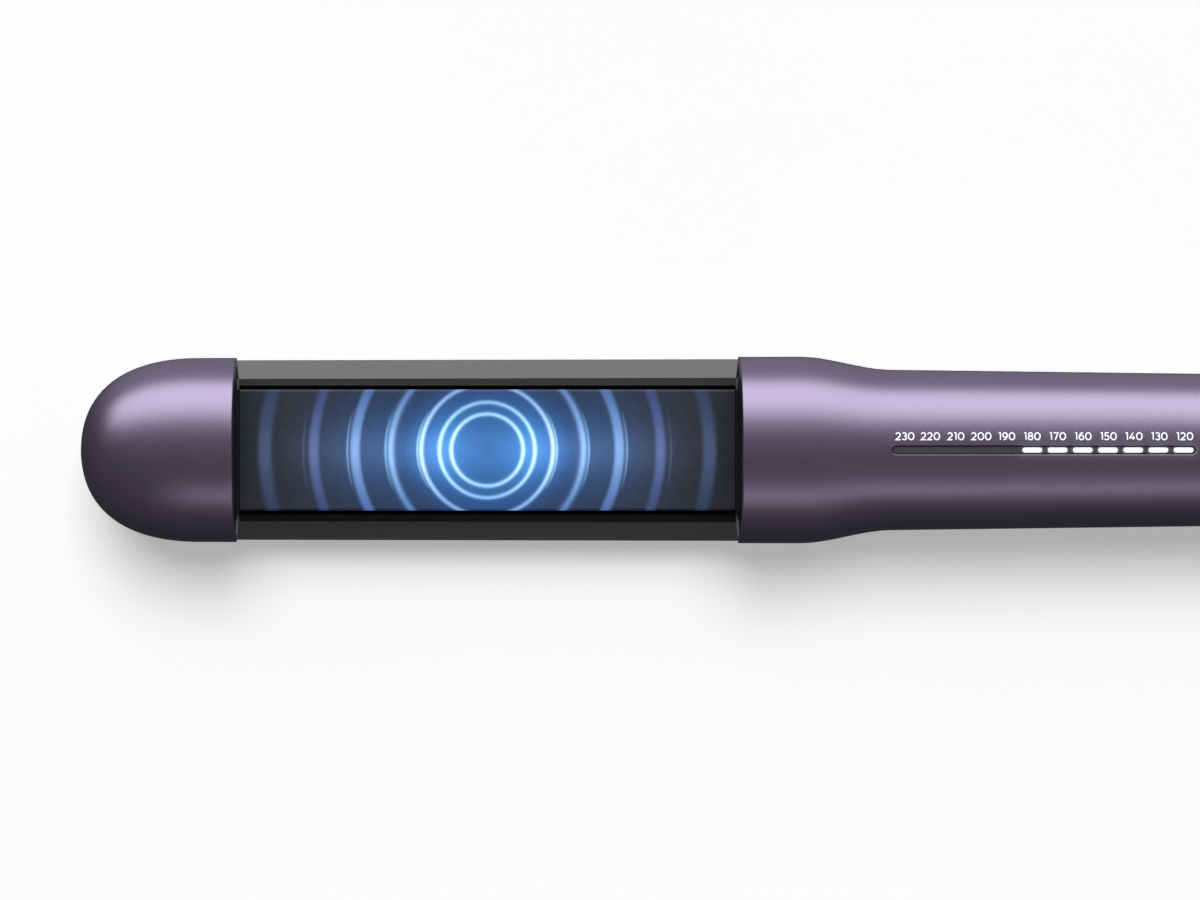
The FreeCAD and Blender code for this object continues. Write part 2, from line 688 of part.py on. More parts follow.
def upper_hinge_arm():
    """The steel arm fixed in the upper grip, with the hub that turns on the pin."""
    arm = bar((ARM_X0, PIN.x), HUB_HALF, ARM_Z)
    hub = rod((PIN.x, -HUB_HALF, PIN.z), Y_AXIS, HUB_R, 2 * HUB_HALF)
    holes = [rod((x, 0, 0), Z_AXIS, SCREW_R, 40) for x in ARM_SCREWS_X]
    return joined([arm, hub]).cut(holes + [rod((PIN.x, -20, PIN.z), Y_AXIS, BUSH_R, 40)])


def hinge_bushes():
    """Two flanged plain bushes pressed into the hub."""
    bush = tube((PIN.x, 2.0, PIN.z), Y_AXIS, BUSH_R, PIN_R + BUSH_RUN, HUB_HALF - 2.0)
    flange = tube((PIN.x, HUB_HALF, PIN.z), Y_AXIS, BUSH_R + 1.2, PIN_R + BUSH_RUN, 0.3)
    return group(both_sides(joined([bush, flange])))


def level_x(level):
    """Station of one temperature level, counted from the hottest."""
    return LEVEL_X0 + level * LEVEL_PITCH


def display_window():
    """The smoked strip in the slot, flush with the casing."""
    return slot_prism(0.05).common(upper_dome(0)).cut(upper_dome(WALL))


def light_guides():
    """Clear dashes with round ends that bring each lamp's light up to the window."""
    floor = BOARD_Z[1] + LED_HEIGHT
    inside = upper_dome(WALL)
    guides = []
    for level in range(LEVELS):
        radius = DASH[1] / 2
        ends = (level_x(level) - DASH[0] / 2 + radius, level_x(level) + DASH[0] / 2 - radius)
        dash = [bar(ends, radius, (floor, 45))]
        dash += [rod((x, 0, floor), Z_AXIS, radius, 45 - floor) for x in ends]
        guides.append(joined(dash).common(inside))
    return group(guides)


def display_leds():
    """One small lamp under each light guide."""
    return group(bar((level_x(n) - 0.8, level_x(n) + 0.8), 0.5, (BOARD_Z[1], BOARD_Z[1] + LED_HEIGHT))
                 for n in range(LEVELS))


def display_board():
    board = bar((12.0, 112.0), 7.5, BOARD_Z)
    return board.cut(rod((70.0, 5.5, 20), Z_AXIS, 1.0, 20))


def button_switches():
    """A tact switch under each button."""
    return group(joined([bar((x - 2.2, x + 2.2), 2.2, (BOARD_Z[1], BOARD_Z[1] + 0.4)),
                         rod((x, 0, BOARD_Z[1] + 0.4), Z_AXIS, 1.0, 0.15)])
                 for x in BUTTONS.values())


def upper_leads():
    """Wires from the upper heater's end of the bar to the display board's lead block."""
    wires = [lead([(-13.0, y, 23.2), (9.0, y, 23.2), (13.0, y, 25.0), (17.0, y, 25.0)], LEAD_R)
             for y in LEADS_Y]
    return group(wires + [block((17.0, 22.0), (-7.4, 7.4), (24.0, BOARD_Z[0]))])


# ---- buttons, lock and swivel -------------------------------------------------------
def button(x):
    """A round button with a shallow dished top and a flange inside the casing."""
    crest = HIGH_RIM + UPPER_RISE * grip_half(x) / HEAD_HALF
    flange_top = crest - WALL - FLANGE_DEPTH
    top = crest + BUTTON_PROUD
    stem = rod((x, 0, flange_top), Z_AXIS, BUTTON_R, top - flange_top)
    rim = [e for e in stem.Edges if abs(e.BoundBox.ZMin - top) < 1e-6]
    stem = stem.makeFillet(BUTTON_RIM_ROUND, rim)
    dish = Part.makeSphere(BUTTON_DISH_R, V(x, 0, top + BUTTON_DISH_R - BUTTON_DISH))
    flange = rod((x, 0, flange_top - BUTTON_FLANGE), Z_AXIS, BUTTON_FLANGE_R, BUTTON_FLANGE)
    return stem.cut(dish).fuse(flange)


def lock_slider():
    """The slide that locks the arms closed: grip pad outside, tongue inside."""
    crest = HIGH_RIM + UPPER_RISE
    top = crest + LOCK_PROUD[1]
    knob = bar(LOCK_X, LOCK_HALF, (crest + LOCK_PROUD[0], top))
    edges = [e for e in knob.Edges if abs(e.BoundBox.ZMax - top) < 1e-6
             and e.BoundBox.ZLength < 1e-6]
    knob = knob.makeFillet(LOCK_ROUND, edges)
    grooves = [rod((x, -6, top + 0.4), Y_AXIS, LOCK_GROOVE_R, 12)
               for x in range(int(LOCK_X[0]) + 3, int(LOCK_X[1]) - 1, LOCK_GROOVE_PITCH)]
    stem_x = (LOCK_X[0] + 2.0, LOCK_X[1] - 2.0)
    tongue_z = [crest - WALL + z for z in LOCK_TONGUE_Z]
    stem = bar(stem_x, LOCK_STEM_HALF, (tongue_z[0], crest + LOCK_PROUD[0]))
    tongue = bar((stem_x[0] - 2.0, stem_x[1]), LOCK_TONGUE_HALF, tongue_z)
    return joined([knob.cut(grooves), stem, tongue])


def cord_swivel():
    """The turning collar that the cord enters, with its flange inside the housing."""
    start, taper_x = SWIVEL_X
    barrel = rod((start, 0, MATE_Z), X_AXIS, SWIVEL_R, taper_x - start)
    nose = Part.makeCone(SWIVEL_R, SWIVEL_R - SWIVEL_TAPER, TAIL_X - taper_x,
                         V(taper_x, 0, MATE_Z), X_AXIS)
    tail_edge = [e for e in nose.Edges if abs(e.BoundBox.XMin - TAIL_X) < 1e-6]
    nose = nose.makeFillet(SWIVEL_NOSE_ROUND, tail_edge)
    flange = rod((start, 0, MATE_Z), X_AXIS, SWIVEL_FLANGE_R, SWIVEL_FLANGE)
    inlet = rod((TAIL_X - INLET_DEPTH, 0, MATE_Z), X_AXIS, INLET_R, INLET_DEPTH)
    wire_way = rod((start - 1, 0, MATE_Z), X_AXIS, WIRE_WAY_R, 20)
    return joined([barrel, nose, flange]).cut([inlet, wire_way])


# ---- nodes --------------------------------------------------------------------------
LEG = HEATER_THICK + CLAMP_THICK - 0.1
NODES = {
    "lower_shell": lower_shell,
    "lower_plate_frame": lower_plate_frame,
    "lower_grip_cover": lower_grip_cover,
    "lower_screws": lower_screws,
    "lower_heat_shield": lower_heat_shield,
    "lower_float_cushions": lambda: float_cushions(SHIELD_Z[1]),
    "tip_bumpers": tip_bumpers,
    "main_board": main_board,
    "board_parts": board_parts,
    "lower_leads": lower_leads,
    "hinge_yoke": hinge_yoke,
    "yoke_screws": yoke_screws,
    "hinge_pin": hinge_pin,
    "hinge_cover": hinge_cover,
    "hinge_caps": hinge_caps,
    "opening_spring": opening_spring,
    "swivel_socket": swivel_socket,
    "swivel_retainer": swivel_retainer,
    "lower_plate": lambda: hot_plate(LEG),
    "lower_heater": heater,
    "lower_heater_clamp": heater_clamp,
    "lower_thermistor": thermistor,
    "thermal_fuse": thermal_fuse,
    "upper_plate": lambda: flip(hot_plate(LEG)),
    "upper_heater": lambda: flip(heater()),
    "upper_heater_clamp": lambda: flip(heater_clamp()),
    "upper_thermistor": lambda: flip(thermistor()),
    "upper_float_cushions":
        lambda: flip(float_cushions(2 * MATE_Z - (BAR_TOP - BAR_COVER_THICK - BAR_WEB))),
    "upper_tip_shell": upper_tip_shell,
    "upper_tip_frame": upper_tip_frame,
    "upper_tip_bulkhead": upper_tip_bulkhead,
    "upper_grip_bulkhead": upper_grip_bulkhead,
    "upper_handle_shell": upper_handle_shell,
    "upper_handle_frame": upper_handle_frame,
    "upper_bar_carrier": upper_bar_carrier,
    "upper_bar_cover": upper_bar_cover,
    "upper_screws": upper_screws,
    "upper_hinge_arm": upper_hinge_arm,
    "hinge_bushes": hinge_bushes,
    "display_window": display_window,
    "light_guides": light_guides,
    "display_leds": display_leds,
    "display_board": display_board,
    "button_switches": button_switches,
    "upper_leads": upper_leads,
    "lock_slider": lock_slider,
    "cord_swivel": cord_swivel,
}
for button_name, station in BUTTONS.items():
    NODES[button_name] = lambda x=station: button(x)

os.makedirs("parts", exist_ok=True)
for name, make in NODES.items():
    shape = make()
    shape.exportStep(f"parts/{name}.step")
    print(f"{name:24s} solids {len(shape.Solids):2d}  volume {shape.Volume:9.1f}  valid {shape.isValid()}")
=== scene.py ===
import bmesh
import bpy
import json
import math
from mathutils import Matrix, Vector


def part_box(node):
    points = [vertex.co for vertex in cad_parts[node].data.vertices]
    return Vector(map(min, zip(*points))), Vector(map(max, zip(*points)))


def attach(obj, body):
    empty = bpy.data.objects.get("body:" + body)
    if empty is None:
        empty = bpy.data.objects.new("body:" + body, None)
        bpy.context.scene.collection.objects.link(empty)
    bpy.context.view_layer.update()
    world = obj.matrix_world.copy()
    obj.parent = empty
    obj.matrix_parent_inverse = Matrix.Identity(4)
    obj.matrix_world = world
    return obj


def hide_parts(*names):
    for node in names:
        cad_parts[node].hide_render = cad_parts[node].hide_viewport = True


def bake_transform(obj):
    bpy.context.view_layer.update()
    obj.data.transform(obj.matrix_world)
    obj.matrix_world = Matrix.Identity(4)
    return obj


# Hair straightening iron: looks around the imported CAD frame. Metres, +Z up, tip at -X.

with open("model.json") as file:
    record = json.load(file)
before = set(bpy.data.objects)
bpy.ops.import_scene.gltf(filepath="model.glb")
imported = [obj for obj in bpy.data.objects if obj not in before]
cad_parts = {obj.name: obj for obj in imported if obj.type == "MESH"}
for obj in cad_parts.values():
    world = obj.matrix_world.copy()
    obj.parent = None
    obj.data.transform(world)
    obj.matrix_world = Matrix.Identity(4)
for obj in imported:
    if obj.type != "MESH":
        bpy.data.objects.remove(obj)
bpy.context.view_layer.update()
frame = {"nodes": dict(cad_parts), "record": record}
MM = 0.001
scene = bpy.context.scene
scene.view_settings.view_transform = "Standard"

# ---- sizes read from the frame ------------------------------------------------------
tip_low, tip_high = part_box("upper_tip_shell")
grip_low, grip_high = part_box("upper_handle_shell")
pin_low, pin_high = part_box("hinge_pin")
window_low, window_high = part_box("display_window")

MATE_Z = (pin_low.z + pin_high.z) / 2
HIGH_RIM = tip_low.z
TIP_X = tip_low.x
TIP_RIM_X = tip_high.x
HEAD_RIM_X = grip_low.x
PIN_X = (pin_low.x + pin_high.x) / 2
HEAD_HALF = grip_high.y
UPPER_RISE = grip_high.z - HIGH_RIM

# ---- casings: the same plan outline as the CAD casings --------------------------------
WALL = 1.6 * MM
TIP_LEN = 26.0 * MM
TIP_HALF = 20.24 * MM
TIP_FULLNESS = 0.64
NECK_X = (-3.0 * MM, 17.0 * MM)
GRIP_HALF = 17.65 * MM
GRIP_TAPER = 0.0127
RIM_ROUND = 0.3 * MM
# front of the hinge housing, with the gap to the upper casing
SEAM_R = 21.1 * MM + 0.3 * MM
SEAM_BLEND = 15.0 * MM
# from the mating plane to the flat faces of the inner covers
FACE_DROP = 1.4 * MM
ROW_PITCH = 1.5 * MM
TIP_ROWS = 30
ROUND_STEPS = 64
RIM_STEPS = 5
CREASE = math.radians(28)

# ---- display strip: levels from the hottest, of which the last ones are lit ------------
LEVELS = 12
LIT = 7
HOTTEST = 230
STEP = 10
LEVEL_X0 = 18.86 * MM
LEVEL_PITCH = 5.462 * MM
DASH_LENGTH = 4.12 * MM
DASH_WIDTH = 0.96 * MM
# the slot against the CAD window: inside its long sides, and past its two ends
SLOT_CLOSER = 0.15 * MM
SLOT_PAST = (0.22 * MM, 0.60 * MM)
# depths below the casing's outside, and the widths of the gasket and of the slot's round lip
WINDOW_SINK = 0.34 * MM
GASKET_WIDTH = 0.26 * MM
GASKET_SINK = 0.24 * MM
GASKET_FOOT = 0.8 * MM
GLASS_THICK = 0.5 * MM
DASH_PROUD = 0.03 * MM
DASH_THICK = 0.08 * MM
LIP = 0.18 * MM
LIP_FOOT = 0.9 * MM
LIP_STEPS = 6
# heights between which the casing's openings are cut
CUT_Z = (HIGH_RIM + 2 * MM, HIGH_RIM + 20 * MM)
# reach of the dashes' light over the paint and over the window
PAINT_SPILL = 1.8 * MM
WINDOW_SPILL = 0.66 * MM
# numerals: the hottest one's place, their size, and the gap as a share of their height
NUMERAL_X0 = 18.55 * MM
NUMERAL_PITCH = 5.507 * MM
NUMERAL_Y = 2.98 * MM
NUMERAL_TALL = 1.50 * MM
NUMERAL_NARROW = 0.93
STROKE = 0.25 * MM
LETTER_GAP = 0.30
INK = 0.02 * MM

# ---- push buttons and opening spring ---------------------------------------------------
BUTTON_DISH_R = 9.0 * MM
BUTTON_DISH = 0.22 * MM
BUTTON_HOLE_R = 2.9 * MM
MARK_HALF = 0.85 * MM
MARK_STROKE = 0.24 * MM
SPRING_WIRE_R = 0.4 * MM
SPRING_TURNS = 7.5
SPRING_STEPS = 28

# ---- camera, floor and light -----------------------------------------------------------
CAMERA_X = -71.7 * MM
CAMERA_HEIGHT = 500 * MM
VIEW_WIDTH = 264 * MM
VIEW_SHIFT = 0.094
SENSOR = 36.0
FLOOR_HALF = 2.5
FLOOR_Z = -0.2 * MM
FLOOR_GLOW = (0.395, 0.395, 0.395, 1)
LIGHT_TARGET_Z = 0.02
# softboxes: place, size, power
KEY_LIGHT = ((-0.06, 0.62, 0.74), (2.3, 0.58), 10.4)
LOW_LIGHT = ((0.58, -0.48, 0.75), (1.8, 0.14), 0.98)
# lamp of the floor: direction it shines from, spread in degrees, strength
FLOOR_LIGHT = ((0, 0.51, 1.0), 38, 2.18)
# surroundings: strength away from +Y and towards it, and the Y of directions between which it rises
WORLD_DIM = 0.056
WORLD_BRIGHT = 0.465
WORLD_RISE = (0.2, 1.0)


# ---- material helpers ---------------------------------------------------------------
class Nodes:
    """A material's node tree with short calls to add and link nodes."""

    def __init__(self, name):
        self.material = bpy.data.materials.new(name)
        self.material.use_nodes = True
        self.tree = self.material.node_tree
        self.shader = self.tree.nodes["Principled BSDF"]

    def add(self, kind, **settings):
        node = self.tree.nodes.new(kind)
        for key, value in settings.items():
            setattr(node, key, value)
        return node

    def link(self, source, target):
        self.tree.links.new(source, target)

    def set(self, **values):
        for key, value in values.items():
            self.shader.inputs[key.replace("_", " ")].default_value = value

    def place(self):
        """The point in the object's own frame, which is the row frame."""
        return self.add("ShaderNodeTexCoord").outputs["Object"]

    def math(self, operation, a, b=None, c=None, clamp=False):
        node = self.add("ShaderNodeMath", operation=operation, use_clamp=clamp)
        for socket, value in zip(node.inputs, (a, b, c)):
            if value is None:
                continue
            if isinstance(value, (int, float)):
                socket.default_value = value
            else:
                self.link(value, socket)
        return node.outputs[0]

    def vector(self, operation, *values):
        node = self.add("ShaderNodeVectorMath", operation=operation)
        for socket, value in zip(node.inputs, values):
            if isinstance(value, tuple):
                socket.default_value = value
            else:
                self.link(value, socket)
        return node.outputs["Vector"]

    def noise(self, scale, detail=2.0, roughness=0.5, place=None):
        node = self.add("ShaderNodeTexNoise")
        node.inputs["Scale"].default_value = scale
        node.inputs["Detail"].default_value = detail
        node.inputs["Roughness"].default_value = roughness
        self.link(place if place is not None else self.place(), node.inputs["Vector"])
        return node.outputs["Fac"]

    def ramp(self, factor, stops):
        node = self.add("ShaderNodeValToRGB")
        elements = node.color_ramp.elements
        elements[0].position, elements[0].color = stops[0]
        elements[1].position, elements[1].color = stops[-1]
        for position, colour in stops[1:-1]:
            elements.new(position).color = colour
        self.link(factor, node.inputs["Fac"])
        return node.outputs["Color"]

    def spread(self, factor, low, high):
        """A number that follows a 0..1 factor between two values."""
        node = self.add("ShaderNodeMapRange")
        node.inputs["From Min"].default_value = 0.3
        node.inputs["From Max"].default_value = 0.7
        node.inputs["To Min"].default_value = low
        node.inputs["To Max"].default_value = high
        self.link(factor, node.inputs["Value"])
        return node.outputs["Result"]

    def bump(self, height, strength, distance):
        node = self.add("ShaderNodeBump")
        node.inputs["Strength"].default_value = strength
        node.inputs["Distance"].default_value = distance
        self.link(height, node.inputs["Height"])
        self.link(node.outputs["Normal"], self.shader.inputs["Normal"])

    def mottle(self, colour, amount, scale):
        """A base colour that varies a little over the surface."""
        low = tuple(c * (1 - amount) for c in colour[:3]) + (1.0,)
        high = tuple(min(1.0, c * (1 + amount)) for c in colour[:3]) + (1.0,)
        self.link(self.ramp(self.noise(scale, 3.0), [(0.3, low), (0.7, high)]),
                  self.shader.inputs["Base Color"])


# ---- materials ----------------------------------------------------------------------
def dash_spill(m, reach, edge):
    """Light round the lit dashes, which fades with the distance from the nearest one."""
    split = m.add("ShaderNodeSeparateXYZ")
    m.link(m.place(), split.inputs["Vector"])
    level = m.math("DIVIDE", m.math("SUBTRACT", split.outputs["X"], LEVEL_X0), LEVEL_PITCH)
    nearest = m.math("MAXIMUM", m.math("ROUND", level), float(LEVELS - LIT))
    nearest = m.math("MINIMUM", nearest, float(LEVELS - 1))
    along = m.math("MULTIPLY", m.math("ABSOLUTE", m.math("SUBTRACT", level, nearest)), LEVEL_PITCH)
    beyond = m.math("MAXIMUM", m.math("SUBTRACT", along, (DASH_LENGTH - DASH_WIDTH) / 2), 0.0)
    across = split.outputs["Y"]
    away = m.math("SQRT", m.math("ADD", m.math("MULTIPLY", beyond, beyond),
                                 m.math("MULTIPLY", across, across)))
    off = m.math("DIVIDE", away, reach)
    bell = m.math("EXPONENT", m.math("MULTIPLY", m.math("POWER", off, edge), -1.0))
    return m.math("MULTIPLY", bell, m.math("GREATER_THAN", split.outputs["Z"], HIGH_RIM))


def purple_paint():
    m = Nodes("purple_casing_paint")
    flakes = m.noise(9000.0, 1.0)
    tone = m.ramp(flakes, [(0.35, (0.254, 0.215, 0.322, 1)), (0.65, (0.294, 0.250, 0.370, 1))])
    m.link(tone, m.shader.inputs["Base Color"])
    m.set(Metallic=0.84, Coat_Weight=0.26, Coat_Roughness=0.28, Emission_Strength=1.0)
    m.link(m.vector("MULTIPLY", dash_spill(m, PAINT_SPILL, 2.0), (0.055, 0.053, 0.058)),
           m.shader.inputs["Emission Color"])
    m.link(m.spread(m.noise(1400.0, 2.0), 0.31, 0.35), m.shader.inputs["Roughness"])
    m.bump(m.noise(5200.0, 2.0), 0.05, 0.00003)
    return m.material


def moulded_plastic(name, colour, roughness=0.42, grain=4200.0, strength=0.12):
    m = Nodes(name)
    m.mottle(colour, 0.06, 700.0)
    m.link(m.spread(m.noise(grain * 0.6, 2.0), roughness - 0.04, roughness + 0.04),
           m.shader.inputs["Roughness"])
    m.bump(m.noise(grain, 2.0, 0.6), strength, 0.00004)
    return m.material


def cover_with_painted_shade():
    """Grey inner covers with painted light and shade: the sloping flanks are painted lighter as if lit,
    and the flat faces round the plates are painted darker as if shaded.
    """
    m = Nodes("dark_grey_cover_painted_shade")
    split = m.add("ShaderNodeSeparateXYZ")
    m.link(m.place(), split.inputs["Vector"])
    height = m.math("ABSOLUTE", m.math("SUBTRACT", split.outputs["Z"], MATE_Z))
    # mask of the flat faces round the plates, which get the darker painted shade
    shaded_face = m.math("LESS_THAN", height, FACE_DROP + 0.05 * MM)
    grain = m.noise(1300.0, 3.0)
    # the flanks get a lighter painted lit tone, the flat faces a darker painted shade tone
    lit_flank = m.ramp(grain, [(0.3, (0.200, 0.200, 0.208, 1)), (0.7, (0.222, 0.222, 0.230, 1))])
    flat = m.ramp(grain, [(0.3, (0.042, 0.042, 0.045, 1)), (0.7, (0.050, 0.050, 0.053, 1))])
    mix = m.add("ShaderNodeMix", data_type="RGBA")
    colour_a, colour_b, result = mix.inputs[6], mix.inputs[7], mix.outputs[2]
    m.link(shaded_face, mix.inputs["Factor"])
    m.link(lit_flank, colour_a)
    m.link(flat, colour_b)
    m.link(result, m.shader.inputs["Base Color"])
    m.set(Specular_IOR_Level=0.35)
    m.link(m.spread(m.noise(2500.0, 2.0), 0.44, 0.52), m.shader.inputs["Roughness"])
    m.bump(m.noise(4200.0, 2.0, 0.6), 0.10, 0.00004)
    return m.material


def metal(name, colour, roughness, brush=None):
    m = Nodes(name)
    m.set(Metallic=1.0)
    m.mottle(colour, 0.05, 300.0)
    place = m.place()
    if brush:
        stretch = m.add("ShaderNodeMapping")
        stretch.inputs["Scale"].default_value = brush
        m.link(place, stretch.inputs["Vector"])
        place = stretch.outputs["Vector"]
    grain = m.noise(2500.0, 2.0, 0.6, place)
    m.link(m.spread(grain, roughness * 0.8, roughness * 1.2), m.shader.inputs["Roughness"])
    m.bump(grain, 0.08, 0.00002)
    return m.material


GLOW_X = -71.7 * MM
RINGS = [
    # radius, half width, edge (2 is soft, 4 is a flat band), light added in its middle
    (7.94 * MM, 0.42 * MM, 2, (0.76, 1.05, 1.25)),
    (10.54 * MM, 0.42 * MM, 2, (0.76, 1.05, 1.25)),
    (14.55 * MM, 0.45 * MM, 2, (0.78, 1.05, 1.30)),
    (21.28 * MM, 0.70 * MM, 2, (0.32, 0.55, 0.86)),
    (29.17 * MM, 1.06 * MM, 4, (0.22, 0.37, 0.68)),
    (38.26 * MM, 1.10 * MM, 4, (0.080, 0.112, 0.285)),
    (49.06 * MM, 1.50 * MM, 4, (0.036, 0.070, 0.148)),
]
SHEEN_LINES = [
    # thin line outside a ring, seen only near the middle of the bar
    (15.43 * MM, (0.34, 0.60, 0.60)),
    (22.49 * MM, (0.18, 0.40, 0.60)),
    (30.87 * MM, (0.16, 0.31, 0.56)),
    (40.57 * MM, (0.035, 0.050, 0.100)),
]
SHEEN_HALF_WIDTH = 0.24 * MM
GLOW_REACH = 60 * MM
GLOW = [
    # distance from the centre, light between the rings
    (0.0 * MM, (0.040, 0.165, 0.480)),
    (6.2 * MM, (0.050, 0.255, 0.690)),
    (9.3 * MM, (0.096, 0.397, 0.925)),
    (12.6 * MM, (0.082, 0.306, 0.840)),
    (16.5 * MM, (0.051, 0.190, 0.525)),
    (18.5 * MM, (0.038, 0.130, 0.365)),
    (24.3 * MM, (0.038, 0.107, 0.277)),
    (32.6 * MM, (0.031, 0.069, 0.172)),
    (35.5 * MM, (0.025, 0.050, 0.113)),
    (42.0 * MM, (0.014, 0.019, 0.041)),
    (46.0 * MM, (0.007, 0.008, 0.014)),
    (53.0 * MM, (0.0, 0.0, 0.0)),
]
ACROSS_REACH = 14 * MM
ACROSS = [
    # distance from the bar's middle line, share of the light between the rings there
    (0.0 * MM, (1.0, 1.0, 1.0)),
    (2.6 * MM, (0.78, 0.84, 0.87)),
    (5.5 * MM, (0.32, 0.53, 0.58)),
    (8.0 * MM, (0.16, 0.35, 0.42)),
    (11.0 * MM, (0.04, 0.23, 0.29)),
    (13.4 * MM, (0.02, 0.16, 0.22)),
]
RING_ACROSS = [
    # the same for the rings' own light
    (0.0 * MM, (1.0, 1.0, 1.0)),
    (2.6 * MM, (0.92, 0.93, 0.94)),
    (5.5 * MM, (0.64, 0.69, 0.74)),
    (11.0 * MM, (0.32, 0.40, 0.54)),
    (13.4 * MM, (0.26, 0.34, 0.46)),
]
SHEEN_ACROSS = [
    (0.0 * MM, (1.0, 1.0, 1.0)),
    (5.5 * MM, (0.45, 0.45, 0.45)),
    (9.0 * MM, (0.0, 0.0, 0.0)),
]


def light_of(m, radius, bands, start):
    """Adds bands of light at given radii to a colour."""
    light = start
    for ring_radius, half_width, edge, colour in bands:
        off = m.math("ABSOLUTE", m.math("DIVIDE", m.math("SUBTRACT", radius, ring_radius), half_width))
        bell = m.math("EXPONENT", m.math("MULTIPLY", m.math("POWER", off, edge), -1.0))
        light = m.vector("MULTIPLY_ADD", bell, colour, light)
    return light


def ramp_of(m, distance, reach, stops):
    """A colour that follows a distance through (distance, colour) stops."""
    factor = m.math("DIVIDE", distance, reach, clamp=True)
    return m.ramp(factor, [(at / reach, colour + (1.0,)) for at, colour in stops])


def glowing_bar_cover():
    """Glossy black cover with rings of blue light that spread from its middle."""
    m = Nodes("glossy_bar_cover_glow")
    m.mottle((0.047, 0.052, 0.069, 1), 0.08, 500.0)
    m.set(Coat_Weight=0.5, Coat_Roughness=0.08, Emission_Strength=1.0)
    split = m.add("ShaderNodeSeparateXYZ")
    m.link(m.place(), split.inputs["Vector"])
    along = m.math("SUBTRACT", split.outputs["X"], GLOW_X)
    across = m.math("ABSOLUTE", split.outputs["Y"])
    radius = m.math("SQRT", m.math("ADD", m.math("MULTIPLY", along, along),
                                   m.math("MULTIPLY", across, across)))
    glow = m.vector("MULTIPLY", ramp_of(m, radius, GLOW_REACH, GLOW),
                    ramp_of(m, across, ACROSS_REACH, ACROSS))
    rings = light_of(m, radius, RINGS, (0, 0, 0))
    rings = m.vector("MULTIPLY", rings, ramp_of(m, across, ACROSS_REACH, RING_ACROSS))
    lines = light_of(m, radius, [(r, SHEEN_HALF_WIDTH, 2, c) for r, c in SHEEN_LINES], (0, 0, 0))
    lines = m.vector("MULTIPLY", lines, ramp_of(m, across, ACROSS_REACH, SHEEN_ACROSS))
    m.link(m.vector("ADD", m.vector("ADD", glow, rings), lines), m.shader.inputs["Emission Color"])
    m.link(m.spread(m.noise(2600.0, 2.0), 0.20, 0.24), m.shader.inputs["Roughness"])
    return m.material


def smoked_window():
    """Smoked strip with the spill of each lit dash round it."""
    m = Nodes("smoked_window")
    m.mottle((0.078, 0.073, 0.071, 1), 0.08, 900.0)
    m.set(Coat_Weight=0.2, Emission_Strength=1.0)
    spill = dash_spill(m, WINDOW_SPILL, 3.0)
    m.link(m.vector("MULTIPLY", spill, (0.30, 0.29, 0.30)), m.shader.inputs["Emission Color"])
    m.link(m.spread(m.noise(5000.0), 0.36, 0.44), m.shader.inputs["Roughness"])
    return m.material


def lit_white():
    m = Nodes("lit_dash_light")
    m.mottle((0.9, 0.92, 0.95, 1), 0.02, 900.0)
    m.set(Emission_Color=(1.0, 1.0, 1.0, 1), Emission_Strength=1.3, Roughness=0.4)
    return m.material


def printed_white():
    m = Nodes("printed_white")
    m.mottle((0.90, 0.89, 0.92, 1), 0.03, 1500.0)
    # the emission is painted light: it makes the printed ink glow brighter, though the ink is no lamp
    m.set(Emission_Color=(0.95, 0.93, 1.0, 1), Emission_Strength=0.6, Roughness=0.55)
    m.bump(m.noise(6000.0), 0.05, 0.00001)
    return m.material


def circuit_board():
    m = Nodes("circuit_board")
    waves = m.add("ShaderNodeTexWave", wave_type="BANDS", bands_direction="Y")
    waves.inputs["Scale"].default_value = 220.0
    waves.inputs["Distortion"].default_value = 6.0
    m.link(m.place(), waves.inputs["Vector"])
    m.link(m.ramp(waves.outputs["Fac"], [(0.45, (0.012, 0.085, 0.040, 1)),
                                         (0.62, (0.030, 0.150, 0.070, 1))]),
           m.shader.inputs["Base Color"])
    m.set(Roughness=0.35, Coat_Weight=0.3)
    return m.material


